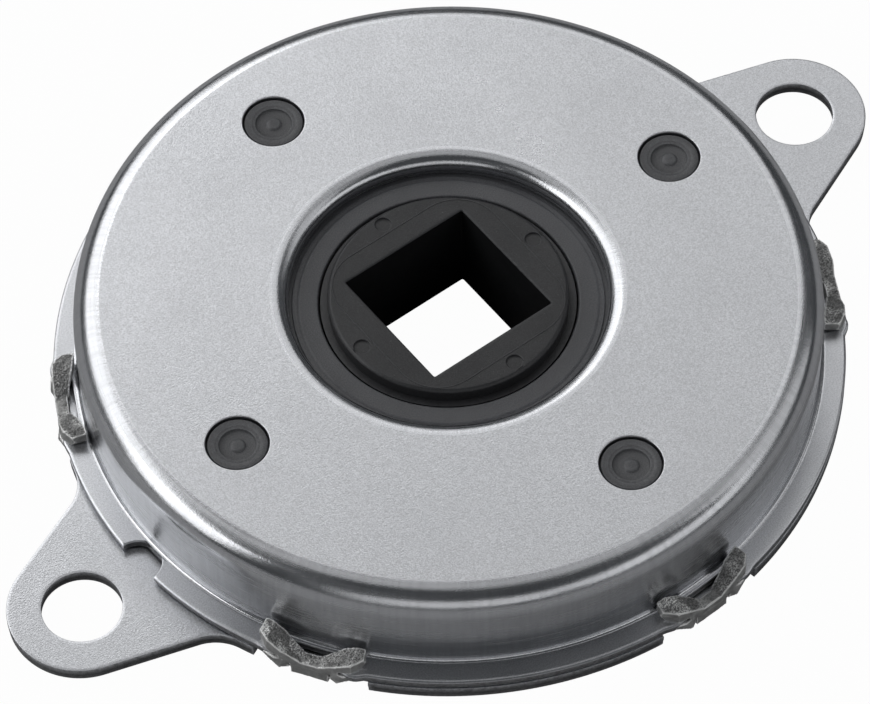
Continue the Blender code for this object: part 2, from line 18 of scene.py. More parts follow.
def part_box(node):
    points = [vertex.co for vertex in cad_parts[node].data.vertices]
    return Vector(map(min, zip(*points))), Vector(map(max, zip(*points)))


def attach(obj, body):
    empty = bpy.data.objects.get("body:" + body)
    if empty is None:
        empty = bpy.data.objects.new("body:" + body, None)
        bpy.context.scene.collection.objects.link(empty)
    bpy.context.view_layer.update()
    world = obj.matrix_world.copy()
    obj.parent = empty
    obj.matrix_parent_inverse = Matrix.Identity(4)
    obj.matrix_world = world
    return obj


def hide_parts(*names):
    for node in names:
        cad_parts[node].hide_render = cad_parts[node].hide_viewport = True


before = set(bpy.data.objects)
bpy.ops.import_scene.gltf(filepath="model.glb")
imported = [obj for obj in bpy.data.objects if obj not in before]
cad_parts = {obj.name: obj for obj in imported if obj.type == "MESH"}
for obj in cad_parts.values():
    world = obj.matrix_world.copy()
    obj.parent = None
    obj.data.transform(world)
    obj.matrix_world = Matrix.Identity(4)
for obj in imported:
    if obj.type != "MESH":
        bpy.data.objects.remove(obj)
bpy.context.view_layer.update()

bl_info = {
    "name": "Rotary Damper Looks",
    "version": (1, 0, 0),
    "blender": (4, 5, 0),
    "location": "3D View > Sidebar > Damper",
    "description": "Detailed pieces, finishes and stage for a flanged rotary damper",
    "category": "Object",
}

MM = 0.001
TURN = 2 * math.pi
QUARTER = math.pi / 2


def levels(node):
    """Heights of a CAD node's bottom and top."""
    low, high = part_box(node)
    return low[2], high[2]


# Levels along the axis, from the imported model
FLANGE_BOTTOM, COVER_TOP = levels("cover")
COLLAR_BOTTOM, COLLAR_TOP = levels("top_collar")
BUSH_BOTTOM, BUSH_TOP = levels("bottom_bush")
HUB_BOTTOM, HUB_TOP = levels("rotor_hub")
CARRIER_BOTTOM, PEG_TOP = levels("disc_carrier")
LOWEST_DISC = levels("fixed_disc_1")[0]
HIGHEST_DISC = levels("fixed_disc_4")[1]
DISCS_MIDDLE = (LOWEST_DISC + HIGHEST_DISC) / 2

# Sizes that the pieces share
BASE_SHEET = 1.4 * MM
COVER_SHEET = 0.8 * MM
FLANGE_TOP = FLANGE_BOTTOM + COVER_SHEET
DOME_RADIUS = 32.8 * MM
RIM_RADIUS = 35.0 * MM
CENTRE_HOLE_RADIUS = 14.0 * MM
EAR_HOLE_OFFSET = 41.15 * MM
CRIMP_ANGLES = [math.radians(a) for a in (30, 90, 150, 210, 270, 330)]
SLOT_HALF_WIDTH = 2.8 * MM
RELIEF_HALF_WIDTH = 5.2 * MM
NOTCH_ANGLE = math.pi
PEG_CIRCLE_RADIUS = 24.2 * MM
PEG_ANGLES = [math.radians(a) for a in (-4, 90, 182, 270)]
PEG_CENTRES = [(PEG_CIRCLE_RADIUS * math.cos(a), PEG_CIRCLE_RADIUS * math.sin(a)) for a in PEG_ANGLES]
JOURNAL_RADIUS = 11.2 * MM
BUSH_RADIUS = 13.7 * MM
BUSH_FLANGE_RADIUS = 16.2 * MM
RUNNING_GAP = 0.15 * MM
SEAT_GAP = 0.2 * MM
ROTOR_REST_TURN = math.radians(-2.5)

# Stepped edges and ends: (sideways, up) in mm, from the edge or the end that they belong to
PLATE_BURR = [(0.3, 0), (0.09, 0), (0.03, -0.02), (0, -0.07)]
PLATE_BURNISHED_SHARE, PLATE_TORN_SHARE = 0.62, 0.5
PLATE_DIE_ROLL = [(0.05, 0.2), (0.1, 0.07), (0.22, 0), (0.4, 0)]
COVER_ROLL_OVER = [(1, 0), (0.55, -0.02), (0.16, -0.08), (0, -0.2)]  # sideways, in roll-over widths
COVER_BURR = [(0, 0.3), (0.03, 0.22), (0.05, 0.03), (0.12, 0), (0.3, 0)]
LIP_CUT_OUTSIDE, LIP_CUT_INSIDE = [(0, 0.1), (0.05, 0)], [(-0.05, 0), (0, 0.05)]
PEG_RIM = [(0.36, 0), (0.3, -0.03), (0.22, -0.035), (0.08, -0.04), (0.02, -0.06), (0, -0.1)]
PEG_DISH = [(-0.06, 0.03), (-0.12, 0)]
PEG_NIPPLE = [(0.16, 0), (0.06, 0.01), (0, 0.06), (-0.1, 0.17), (-0.18, 0.2)]
COLLAR_STEP = [(-0.4, -0.12), (-0.48, -0.12), (-0.62, -0.01), (-0.68, 0), (-0.76, 0)]
HUB_FOOT = [(-0.5, 0), (-0.2, 0), (-0.06, 0.03), (0, 0.1)]
HUB_BOSS = [(0, -0.35), (0, -0.3), (-0.04, -0.2), (-0.2, -0.04), (-0.27, 0), (-0.35, 0)]
BORE_MOUTH = [(0.3, 0), (0.1, 0), (0.07, 0.015), (0.015, 0.07), (0, 0.12), (0, 0.4), (0, 3.5)]
WITNESS_LINE = [(0.08, 0), (0.045, 0.05), (-0.045, 0.05), (-0.08, 0)]
DIMPLE_RIM, DIMPLE_FLOOR = [(0.12, 0), (0.04, 0), (0, -0.03)], [(-0.02, 0.03), (-0.08, 0), (-0.14, 0)]


# ---------------------------------------------------------------- settings


def length(name, description, default):
    return FloatProperty(
        name=name, description=description, default=default, unit="LENGTH", precision=5
    )


def share(name, description, default):
    """A part of one, from 0 to 1."""
    return FloatProperty(
        name=name, description=description, default=default, min=0, max=1, subtype="FACTOR"
    )


def slope(name, description, degrees):
    return FloatProperty(
        name=name, description=description, default=math.radians(degrees), subtype="ANGLE"
    )


def tint(name, description, default):
    return FloatVectorProperty(
        name=name, description=description, default=default, size=3, min=0, max=1, subtype="COLOR"
    )


class SteelSettings(bpy.types.PropertyGroup):
    """Zinc-plated steel of the cover, the base plate and the crimps."""

    zinc_colour: tint("Zinc", "Colour of the plated faces", (0.66, 0.67, 0.695))
    sheared_colour: tint("Sheared", "Colour of the cut edges", (0.2, 0.2, 0.205))
    crimped_colour: tint("Crimped", "Colour of the upset lugs", (0.46, 0.46, 0.455))
    peel_size: length("Peel", "Size of the plating's fine dimples", 0.12 * MM)
    face_roughness: share("Face roughness", "Of the pressed flat faces", 0.29)
    drawn_roughness: share("Drawn roughness", "Of the cover's drawn wall", 0.22)


class CoverSettings(bpy.types.PropertyGroup):
    """Drawn steel cover."""

    corner_radius: length("Corner radius", "Top edge of the drawn wall", 2.4 * MM)
    foot_radius: length("Foot radius", "Between the wall and the flange", 0.35 * MM)
    lip_width: length("Lip width", "Rolled stretch round the hub", 1.4 * MM)
    lip_drop: length("Lip drop", "Height that the roll takes up", 1.05 * MM)
    lip_depth: length("Lip depth", "From the top face to the lip's end", 1.9 * MM)
    roll_over: length("Roll-over", "Width of the rounded side of a punched edge", 0.22 * MM)
    peg_hole_radius: length("Peg hole radius", "Holes for the four pegs", 2.76 * MM)
    notch_radius: length("Notch radius", "Half-round notch in the flange", 2.1 * MM)


class BasePlateSettings(bpy.types.PropertyGroup):
    """Base plate with its two ears."""

    ear_hole_radius: length("Ear hole radius", "Screw holes", 3.5 * MM)
    ear_end_radius: length("Ear end radius", "Round end of an ear", 6.5 * MM)
    ear_fillet: length("Ear fillet", "Between an ear's flank and the rim", 4.0 * MM)
    ear_angle: slope("Ear angle", "Slope of an ear's flanks", 20)
    relief_depth: length("Relief depth", "Set-back of the rim beside a tab", 0.8 * MM)


class CrimpSettings(bpy.types.PropertyGroup):
    """Six split tabs, splayed over the flange."""

    lug_reach: length("Lug reach", "From the tab's middle to a lug's tip", 4.95 * MM)
    lug_rise: length("Lug rise", "Lug's top above the flange", 1.55 * MM)
    voxel: length("Voxel", "Fineness of the upset surface", 0.075 * MM)
    tear_depth: length("Tear depth", "Roughness of the torn faces", 0.11 * MM)
    seed: IntProperty(name="Seed", description="Makes the six crimps differ", default=7)


class PlasticSettings(bpy.types.PropertyGroup):
    """Hub, pegs, collar and bush."""

    black: tint("Black", "Hub and carrier", (0.027, 0.0276, 0.03))
    peg_black: tint("Peg black", "Carrier and its pegs", (0.1, 0.102, 0.108))
    grey: tint("Grey", "Collar and bush", (0.1, 0.102, 0.11))
    square_side: length("Square", "Across the flats of the drive bore", 12.8 * MM)
    peg_radius: length("Peg radius", "Pegs through the cover", 2.62 * MM)
    moulding_round: length("Rounding", "Radius of the moulded edges", 0.12 * MM)


class InsideSettings(bpy.types.PropertyGroup):
    """Discs, spacers, washers and seals inside the housing."""

    disc_colour: tint("Disc steel", "Colour of the punched discs", (0.45, 0.45, 0.46))
    rubber_colour: tint("Rubber", "Colour of the O-rings", (0.012, 0.012, 0.012))


class StageSettings(bpy.types.PropertyGroup):
    """Floor, lights and camera."""

    azimuth: slope("Azimuth", "Camera's direction from the part, about Z", -128.783)
    elevation: slope("Elevation", "Camera's height over the floor, as an angle", 54.517)
    roll: slope("Roll", "Camera's turn about its own axis", 1.425)
    distance: length("Distance", "Camera to its aim", 463.2 * MM)
    focal_length: FloatProperty(
        name="Focal length", description="On a 36 mm sensor, in mm", default=218.845
    )
    floor_colour: tint("Floor", "Colour of the floor", (0.52, 0.52, 0.525))


# ---------------------------------------------------------------- outlines


def arc(centre, radius, start, end, steps):
    """Points on an arc, its two ends included."""
    angles = [start + (end - start) * i / steps for i in range(steps + 1)]
    return [(centre[0] + radius * math.cos(a), centre[1] + radius * math.sin(a)) for a in angles]


def circle(radius, segments, centre=(0.0, 0.0)):
    return arc(centre, radius, 0, TURN, segments)[:-1]


def offsets(radius, height, steps):
    """Profile points at the given steps, in mm, from a radius and a height."""
    return [(radius + out * MM, height + up * MM) for out, up in steps]


def turned(points, angle):
    c, s = math.cos(angle), math.sin(angle)
    return [(c * x - s * y, s * x + c * y) for x, y in points]


def soft_corner(before, corner, after, radius, steps=4):
    """A corner between two straight stretches, rounded with the given radius."""
    corner, before, after = Vector(corner), Vector(before), Vector(after)
    back, on = (before - corner).normalized(), (after - corner).normalized()
    half = back.angle(on) / 2
    centre = corner + (back + on).normalized() * (radius / math.sin(half))
    first = corner + back * (radius / math.tan(half)) - centre
    last = corner + on * (radius / math.tan(half)) - centre
    sweep = first.angle_signed(last)
    start = math.atan2(first.y, first.x)
    return arc(centre, radius, start, start - sweep, steps)


def inset(points, distances):
    """An anticlockwise outline moved inwards, by one distance or by one for each point."""
    p = np.array(points)
    along = np.roll(p, -1, axis=0) - p
    along /= np.linalg.norm(along, axis=1)[:, None]
    inwards = np.stack([-along[:, 1], along[:, 0]], axis=1)
    previous = np.roll(inwards, 1, axis=0)
    bend = np.maximum(1 + (inwards * previous).sum(axis=1), 0.4)
    moved = p + (inwards + previous) * (np.broadcast_to(distances, len(p)) / bend)[:, None]
    return [tuple(point) for point in moved]


def square_outline(half_side, corner_radius, steps=4):
    """A rounded square, with points close to each corner that keep its sides flat."""
    straight = half_side - corner_radius
    support = straight - 0.2 * MM
    side = [(half_side, -support), (half_side, support)]
    side += arc((straight, straight), corner_radius, 0, QUARTER, steps)
    return [point for k in range(4) for point in turned(side, k * QUARTER)]


def keyed_outline(radius, key_radius, key_width, key_count, segments):
    """A round outline with straight-sided keys that reach key_radius."""
    root = math.asin(key_width / 2 / radius)
    tip = math.asin(key_width / 2 / key_radius)
    step = TURN / key_count
    steps = max(2, round(segments / key_count * (1 - 2 * root / step)))
    key = arc((0, 0), key_radius, -tip, tip, 4)
    key += arc((0, 0), radius, root, step - root, steps)
    return [point for k in range(key_count) for point in turned(key, k * step)]


# ---------------------------------------------------------------- surfaces


def mesh_of(bm, name):
    mesh = bpy.data.meshes.new(name)
    bm.to_mesh(mesh)
    bm.free()
    return mesh


class Skin:
    """A closed surface, put together from level rows of points."""

    def __init__(self):
        self.bm = bmesh.new()

    def row(self, points, height):
        return [self.bm.verts.new((x, y, height)) for x, y in points]

    def band(self, lower, upper, finish=0):
        """Joins two rows of as many points with four-sided faces."""
        for i in range(len(lower)):
            j = (i + 1) % len(lower)
            face = self.bm.faces.new((lower[i], lower[j], upper[j], upper[i]))
            face.material_index = finish

    def bands(self, rows, finish=0):
        for lower, upper in zip(rows, rows[1:]):
            self.band(lower, upper, finish)

    def edge(self, rows, rolled, cut, finish):
        """An edge whose rows from rolled to cut have another finish than the faces beside it."""
        self.bands(rows[:rolled])
        self.bands(rows[rolled - 1 : cut], finish)
        self.bands(rows[cut - 1 :])

    def level(self, rows):
        """Fills a level face: the first row is its edge, and the others are its holes."""
        edges = []
        for row in rows:
            for a, b in zip(row, row[1:] + row[:1]):
                edges.append(self.bm.edges.get((a, b)) or self.bm.edges.new((a, b)))
        bmesh.ops.triangle_fill(self.bm, edges=edges, use_beauty=True, normal=(0, 0, 1))

    def turned_rows(self, profile, segments, centre=(0.0, 0.0)):
        """One ring of points for each (radius, height) of a profile."""
        return [self.row(circle(radius, segments, centre), height) for radius, height in profile]

    def mesh(self, name, sharp=32):
        bmesh.ops.recalc_face_normals(self.bm, faces=self.bm.faces)
        mesh = mesh_of(self.bm, name)
        mesh.shade_smooth()
        mesh.set_sharp_from_angle(angle=math.radians(sharp))
        return mesh


def turned_mesh(name, profile, segments, centre=(0.0, 0.0), sharp=32):
    """A ring-shaped piece, turned from a closed profile."""
    skin = Skin()
    rows = skin.turned_rows(profile, segments, centre)
    skin.bands(rows + rows[:1])
    return skin.mesh(name, sharp)


def softened(profile, radius, steps=3):
    """A closed profile with every corner rounded."""
    points = []
    for i, corner in enumerate(profile):
        before, after = profile[i - 1], profile[(i + 1) % len(profile)]
        points += soft_corner(before, corner, after, radius, steps)
    return points


def mark_edges(mesh):
    """Stores how far each point stands out as a ridge, for the materials' rubbed edges and painted edge
    highlights.
    """
    bm = bmesh.new()
    bm.from_mesh(mesh)
    values = np.zeros(len(bm.verts), np.float32)
    for edge in bm.edges:
        if len(edge.link_faces) != 2:
            continue
        bend = edge.calc_face_angle_signed(0)
        for vert in edge.verts:
            values[vert.index] = max(values[vert.index], min(1, bend / math.radians(40)))
    bm.free()
    attribute = mesh.attributes.new("ridge", "FLOAT", "POINT")
    attribute.data.foreach_set("value", values)


def placed(name, data):
    """A new object in the scene, for a mesh, a light or a camera."""
    made = bpy.data.objects.new(name, data)
    bpy.context.scene.collection.objects.link(made)
    return made


def add_piece(name, mesh, materials, body, slot, *nodes):
    """Puts a finished mesh into the scene, riding on its body, for the CAD nodes it replaces."""
    mark_edges(mesh)
    piece = placed(name, mesh)
    for material in materials:
        mesh.materials.append(material)
    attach(piece, body)
    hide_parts(*nodes)


# ---------------------------------------------------------------- shader groups


class Tree:
    """Short forms for placing and linking shader nodes."""

    def __init__(self, tree):
        self.tree = tree

    def node(self, kind, **settings):
        made = self.tree.nodes.new("ShaderNode" + kind)
        for key, value in settings.items():
            setattr(made, key, value)
        return made

    def feed(self, socket, value):
        """Links a socket, or sets a plain number or colour."""
        if isinstance(value, bpy.types.NodeSocket):
            self.tree.links.new(value, socket)
        else:
            socket.default_value = value

    def math(self, operation, first, second):
        made = self.node("Math", operation=operation)
        self.feed(made.inputs[0], first)
        self.feed(made.inputs[1], second)
        return made.outputs[0]

    def times(self, first, second):
        return self.math("MULTIPLY", first, second)

    def vector(self, operation, first, second=None, socket="Scale"):
        """A vector operation, its second value going to the given input."""
        made = self.node("VectorMath", operation=operation)
        self.feed(made.inputs[0], first)
        if second is not None:
            self.feed(made.inputs[socket], second)
        return made.outputs["Value" if operation == "LENGTH" else "Vector"]

    def attribute(self, name):
        return self.node("Attribute", attribute_name=name).outputs["Fac"]

    def noise(self, vector, size, detail, rough=0.5, distortion=0.0):
        """A noise with lumps of the given size."""
        made = self.node("TexNoise")
        self.feed(made.inputs["Vector"], vector)
        self.feed(made.inputs["Scale"], self.math("DIVIDE", 1, size))
        made.inputs["Detail"].default_value = detail
        made.inputs["Roughness"].default_value = rough
        made.inputs["Distortion"].default_value = distortion
        return made.outputs["Fac"]

    def spread(self, value, low, high, to_low=0.0, to_high=1.0):
        made = self.node("MapRange")
        for socket, given in zip(made.inputs, (value, low, high, to_low, to_high)):
            self.feed(socket, given)
        return made.outputs["Result"]

    def mix(self, share_of_second, first, second):
        made = self.node("Mix", data_type="RGBA")
        for key, value in (("Factor", share_of_second), ("A", first), ("B", second)):
            self.feed(made.inputs[key], value)
        return made.outputs["Result"]


def shader_group(name, inputs, outputs):
    """A node group with named number inputs and outputs: its Tree, inputs and outputs."""
    group = bpy.data.node_groups.new(name, "ShaderNodeTree")
    sockets = group.interface
    for socket_name, default in inputs.items():
        socket = sockets.new_socket(socket_name, in_out="INPUT", socket_type="NodeSocketFloat")
        socket.default_value = default
    for socket_name in outputs:
        sockets.new_socket(socket_name, in_out="OUTPUT", socket_type="NodeSocketFloat")
    ends = group.nodes.new("NodeGroupInput"), group.nodes.new("NodeGroupOutput")
    return Tree(group), ends[0].outputs, ends[1].inputs


def millimetres(tree):
    """The point on the piece, in millimetres, from the piece's own coordinates."""
    return tree.vector("SCALE", tree.node("TexCoord").outputs["Object"], 1 / MM)


def make_grain_group():
    """Fine dimples or grain of one size, with a slower cloud in it."""
    tree, given, out = shader_group("Fine Grain", {"Size": 0.24, "Cloud": 6.0}, ["Height", "Cloud"])
    point = millimetres(tree)
    tree.feed(out["Height"], tree.noise(point, given["Size"], 1))
    tree.feed(out["Cloud"], tree.spread(tree.noise(point, given["Cloud"], 4, 0.6), 0.3, 0.7))


STREAK_RADIUS = 30  # in mm


def make_round_grain_group():
    """Streaks laid out round the axis: drawing, turning and grinding marks."""
    sizes = {"Around": 1.0, "Along": 6.0, "Outwards": 6.0}
    tree, given, out = shader_group("Round Grain", sizes, ["Height", "Streaks"])
    parts = tree.node("SeparateXYZ")
    tree.feed(parts.inputs[0], millimetres(tree))
    flat = tree.node("CombineXYZ")
    tree.feed(flat.inputs["X"], parts.outputs["X"])
    tree.feed(flat.inputs["Y"], parts.outputs["Y"])
    radius = tree.vector("LENGTH", flat.outputs[0])
    # Streaks are as wide as asked for at the widest pieces' usual radius
    around = tree.math("DIVIDE", STREAK_RADIUS, given["Around"])
    round_way = tree.vector("SCALE", tree.vector("NORMALIZE", flat.outputs[0]), around)
    rise = tree.node("CombineXYZ")
    height = tree.math("DIVIDE", parts.outputs["Z"], given["Along"])
    outwards = tree.math("DIVIDE", radius, given["Outwards"])
    tree.feed(rise.inputs["Z"], tree.math("ADD", height, outwards))
    place = tree.vector("ADD", round_way, rise.outputs[0], 1)
    streaks = tree.noise(place, 1, 4, 0.6)
    tree.feed(out["Height"], streaks)
    tree.feed(out["Streaks"], tree.spread(streaks, 0.35, 0.65))


def make_wear_and_highlight_group():
    """Ridges painted bright, partly as rubbing, partly as painted highlight, broken up by a noise."""
    tree, given, out = shader_group("Edge Wear And Highlight", {"Amount": 0.6, "Breaks": 0.5}, ["Mask"])
    breaks = tree.noise(millimetres(tree), given["Breaks"], 3, 0.6)
    worn_and_highlit = tree.times(tree.attribute("ridge"), tree.spread(breaks, 0.35, 0.6, 0.35, 1))
    tree.feed(out["Mask"], tree.times(worn_and_highlit, given["Amount"]))


def make_dust_group():
    """Handling marks and fine dust: soft patches and sparse specks."""
    tree, given, out = shader_group("Dust", {"Patch": 9.0, "Speck": 0.35}, ["Patches", "Specks"])
    point = millimetres(tree)
    patches = tree.noise(point, given["Patch"], 5, 0.62, 0.4)
    tree.feed(out["Patches"], tree.spread(patches, 0.25, 0.75))
    tree.feed(out["Specks"], tree.spread(tree.noise(point, given["Speck"], 1), 0.71, 0.76))


class Finish(Tree):
    """One material: a Principled shader and the groups that feed it."""

    def __init__(self, name, colour, metallic, roughness):
        self.material = bpy.data.materials.new(name)
        self.material.use_nodes = True
        super().__init__(self.material.node_tree)
        self.inputs = self.tree.nodes["Principled BSDF"].inputs
        self.colour = colour
        self.material.diffuse_color = (*colour, 1)
        self.inputs["Base Color"].default_value = (*colour, 1)
        self.inputs["Metallic"].default_value = metallic
        self.inputs["Roughness"].default_value = roughness
        self.previous_bump = None

    def group(self, name, **values):
        made = self.node("Group")
        made.node_tree = bpy.data.node_groups[name]
        for socket, value in values.items():
            made.inputs[socket].default_value = value
        return made.outputs

    def grain(self, size, cloud):
        return self.group("Fine Grain", Size=size, Cloud=cloud)

    def dust(self, patch, speck):
        return self.group("Dust", Patch=patch, Speck=speck)

    def streaks(self, around, along, outwards):
        return self.group("Round Grain", Around=around, Along=along, Outwards=outwards)

    def bump(self, height, depth):
        """Adds a relief of the given depth, in millimetres, on top of the earlier ones."""
        made = self.node("Bump")
        made.inputs["Strength"].default_value = 1
        made.inputs["Distance"].default_value = depth * MM
        self.feed(made.inputs["Height"], height)
        if self.previous_bump:
            self.feed(made.inputs["Normal"], self.previous_bump)
        self.previous_bump = made.outputs["Normal"]
        self.feed(self.inputs["Normal"], self.previous_bump)

    def paint(self, mask, colour):
        """Mixes a colour in where the mask says."""
        socket = self.inputs["Base Color"]
        below = socket.links[0].from_socket if socket.links else (*self.colour, 1)
        self.feed(socket, self.mix(mask, below, (*colour, 1)))

    def tone(self, mask, factor):
        """Mixes the finish's own colour, made brighter or darker, in where the mask says."""
        self.paint(mask, brighter(self.colour, factor))

    # Paints ridges in the given colour: partly rubbed edges, partly painted highlight.
    def wear_and_highlight(self, amount, breaks, colour):
        self.paint(self.group("Edge Wear And Highlight", Amount=amount, Breaks=breaks)["Mask"], colour)

    def done(self, mask, low, high, *reliefs):
        """The material, its roughness varied by a mask, with (height, depth in mm) reliefs."""
        self.feed(self.inputs["Roughness"], self.spread(mask, 0, 1, low, high))
        for height, depth in reliefs:
            self.bump(height, depth)
        return self.material


def brighter(colour, factor):
    return tuple(min(1, part * factor) for part in colour)


def zinc_face_finish(settings):
    """Flat pressed faces of the plated sheet: a fine orange peel under a soft sheen."""
    low = settings.face_roughness
    finish = Finish("zinc_face", settings.zinc_colour, metallic=1.0, roughness=low)
    grain, dust = finish.grain(size=settings.peel_size / MM, cloud=7), finish.dust(patch=12, speck=0.3)
    finish.tone(grain["Cloud"], 1.05)
    finish.tone(finish.times(dust["Patches"], 0.5), 0.93)
    finish.tone(finish.spread(grain["Height"], 0.3, 0.7, 1, 0), 0.72)
    # Ridges painted lighter: rubbed edges and painted highlight.
    finish.wear_and_highlight(amount=0.5, breaks=0.6, colour=brighter(settings.zinc_colour, 1.3))
    return finish.done(dust["Patches"], low - 0.03, low + 0.05, (grain["Height"], 0.016))


def drawn_finish(settings):
    """Drawn wall of the cover: ironed smooth by the die, with faint drawing streaks."""
    low = settings.drawn_roughness
    finish = Finish("zinc_drawn", settings.zinc_colour, metallic=1.0, roughness=low)
    marks = finish.streaks(around=0.35, along=5, outwards=5)
    rings = finish.streaks(around=14, along=0.25, outwards=0.25)
    grain = finish.grain(size=settings.peel_size / MM, cloud=4)
    finish.tone(marks["Streaks"], 0.9)
    reliefs = [(marks["Height"], 0.006), (rings["Height"], 0.004), (grain["Height"], 0.008)]
    return finish.done(rings["Streaks"], low - 0.05, low + 0.08, *reliefs)


def sheared_finish(settings):
    """Cut edges: a burnished band and a torn band with upright scoring."""
    finish = Finish("zinc_sheared", settings.sheared_colour, metallic=1.0, roughness=0.5)
    scoring, grain = finish.streaks(around=0.16, along=3, outwards=3), finish.grain(size=0.12, cloud=1.5)
    finish.tone(grain["Cloud"], 0.6)
    # Ridges painted bright: rubbed edges and painted highlight.
    finish.wear_and_highlight(amount=0.8, breaks=0.4, colour=brighter(settings.zinc_colour, 1.2))
    reliefs = [(scoring["Height"], 0.04), (grain["Height"], 0.03)]
    return finish.done(grain["Cloud"], 0.3, 0.55, *reliefs)


def crimped_finish(settings):
    """Upset lugs: torn, granular steel, torn faces painted white as bare new steel and painted
    highlight, bright chips, and rims painted white as rubbing and painted highlight.
    """
    finish = Finish("zinc_crimped", settings.crimped_colour, metallic=0.35, roughness=0.4)
    grain, dust = finish.grain(size=0.14, cloud=1.1), finish.dust(patch=1.3, speck=0.2)
    fresh_and_highlight, torn, rims = (finish.attribute(name) for name in ("fresh_and_highlight", "torn", "rims"))
    finish.tone(grain["Cloud"], 0.5)
    # Torn faces painted near white: bare new steel and painted highlight.
    finish.paint(finish.spread(fresh_and_highlight, 0.15, 0.55), (0.95, 0.95, 0.94))
    finish.tone(finish.times(torn, finish.spread(grain["Height"], 0.42, 0.58, 0.85, 0)), 0.25)
    finish.paint(finish.times(torn, dust["Specks"]), (0.95, 0.95, 0.94))
    # Rims painted white: rubbed steel and painted highlight.
    finish.paint(finish.spread(rims, 0, 0.6), (1.0, 1.0, 0.99))
    return finish.done(rims, 0.48, 0.25, (grain["Height"], 0.05))


def plastic_finish(name, colour, roughness, grain_size, grain_depth):
    """Moulded plastic: fine spark-eroded grain, ridges painted lighter as polish and painted highlight,
    a little dust.
    """
    finish = Finish(name, colour, metallic=0.0, roughness=roughness)
    grain, dust = finish.grain(size=grain_size, cloud=3), finish.dust(patch=4, speck=0.16)
    finish.tone(grain["Cloud"], 1.25)
    finish.tone(finish.spread(grain["Height"], 0.35, 0.7, 1, 0), 0.6)
    finish.paint(finish.times(dust["Specks"], 0.25), (0.2, 0.2, 0.21))
    # Ridges painted three times lighter: polish and painted highlight.
    finish.wear_and_highlight(amount=0.35, breaks=0.5, colour=brighter(colour, 3.2))
    relief = (grain["Height"], grain_depth)
    return finish.done(dust["Patches"], roughness - 0.06, roughness + 0.08, relief)


def bore_finish(settings):
    """Matt walls of the square bore, left rough by the mould's core, their black darkened as painted
    shade in the bore.
    """
    # Four times darker than the hub's black: painted shade.
    finish = Finish("black_plastic_bore", brighter(settings.black, 0.25), metallic=0.0, roughness=0.7)
    grain, dust = finish.grain(size=0.15, cloud=2), finish.dust(patch=3, speck=0.16)
    finish.tone(grain["Cloud"], 1.3)
    finish.inputs["Specular IOR Level"].default_value = 0.12
    return finish.done(dust["Patches"], 0.62, 0.8, (grain["Height"], 0.01))


def disc_finish(settings):
    """Punched discs, ground on both faces, with an oily film."""
    finish = Finish("disc_steel", settings.disc_colour, metallic=1.0, roughness=0.35)
    marks, dust = finish.streaks(around=9, along=0.2, outwards=0.12), finish.dust(patch=8, speck=0.3)
    finish.tone(marks["Streaks"], 0.85)
    finish.inputs["Coat Weight"].default_value = 0.4
    finish.inputs["Coat Roughness"].default_value = 0.08
    return finish.done(dust["Patches"], 0.25, 0.42, (marks["Height"], 0.008))


def rubber_finish(settings):
    """O-ring rubber with a greasy bloom."""
    finish = Finish("seal_rubber", settings.rubber_colour, metallic=0.0, roughness=0.6)
    grain, dust = finish.grain(size=0.08, cloud=1.5), finish.dust(patch=3, speck=0.2)
    finish.paint(finish.times(grain["Cloud"], 0.4), (0.05, 0.05, 0.052))
    return finish.done(dust["Patches"], 0.4, 0.7, (grain["Height"], 0.01))


# ---------------------------------------------------------------- base plate


def ear_side(settings):
    """Half of the base plate's outline, from the far side of one ear to the start of the next."""
    hole = (EAR_HOLE_OFFSET, 0.0)
    normal = QUARTER - settings.ear_angle
    fillet_radius = settings.ear_fillet
    flank = hole[0] * math.cos(normal) + settings.ear_end_radius
    reach = RIM_RADIUS + fillet_radius
    foot = normal - math.acos((flank + fillet_radius) / reach)
    fillet_centre = (reach * math.cos(foot), reach * math.sin(foot))
    fillet = arc(fillet_centre, fillet_radius, normal + math.pi, foot + math.pi, 16)
    end = arc(hole, settings.ear_end_radius, -normal, normal, 56)

    half_relief = math.asin(RELIEF_HALF_WIDTH / RIM_RADIUS)
    rim, start = [], foot
    for angle in [a for a in CRIMP_ANGLES if a < math.pi]:
        rim += rim_stretch(RIM_RADIUS, start, angle - half_relief)
        start = angle + half_relief
        rim += rim_stretch(RIM_RADIUS - settings.relief_depth, angle - half_relief, start)
    rim += rim_stretch(RIM_RADIUS, start, math.pi - foot)
    mirrored = [(x, -y) for x, y in fillet[::-1]]
    return mirrored + end + fillet + rim[1:-1]


def rim_stretch(radius, start, end, step=1.0):
    steps = max(4, round((end - start) / math.radians(step)))
    return arc((0, 0), radius, start, end, steps)


def make_base_plate(settings, steel):
    """Flat plate: die roll on the underside's edges, a crisp burr line on top."""
    half = ear_side(settings)
    outlines = [half + turned(half, math.pi), circle(CENTRE_HOLE_RADIUS, 160)[::-1]]
    for offset in (EAR_HOLE_OFFSET, -EAR_HOLE_OFFSET):
        outlines.append(circle(settings.ear_hole_radius, 72, (offset, 0))[::-1])
    edge = offsets(0, BASE_SHEET, PLATE_BURR)
    edge += [(0, BASE_SHEET * PLATE_BURNISHED_SHARE), (0.03 * MM, BASE_SHEET * PLATE_TORN_SHARE)]
    edge += offsets(0, 0, PLATE_DIE_ROLL)

    skin = Skin()
    tops, bottoms = [], []
    for points in outlines:
        rows = [skin.row(inset(points, distance), height) for distance, height in edge]
        skin.edge(rows, 3, 8, 1)
        tops.append(rows[0])
        bottoms.append(rows[-1])
    skin.level(tops)
    skin.level(bottoms)
    materials = [zinc_face_finish(steel), sheared_finish(steel)]
    mesh = skin.mesh("base_plate_sheet")
    add_piece("base_plate_sheet", mesh, materials, "housing", "zinc_steel", "base_plate")


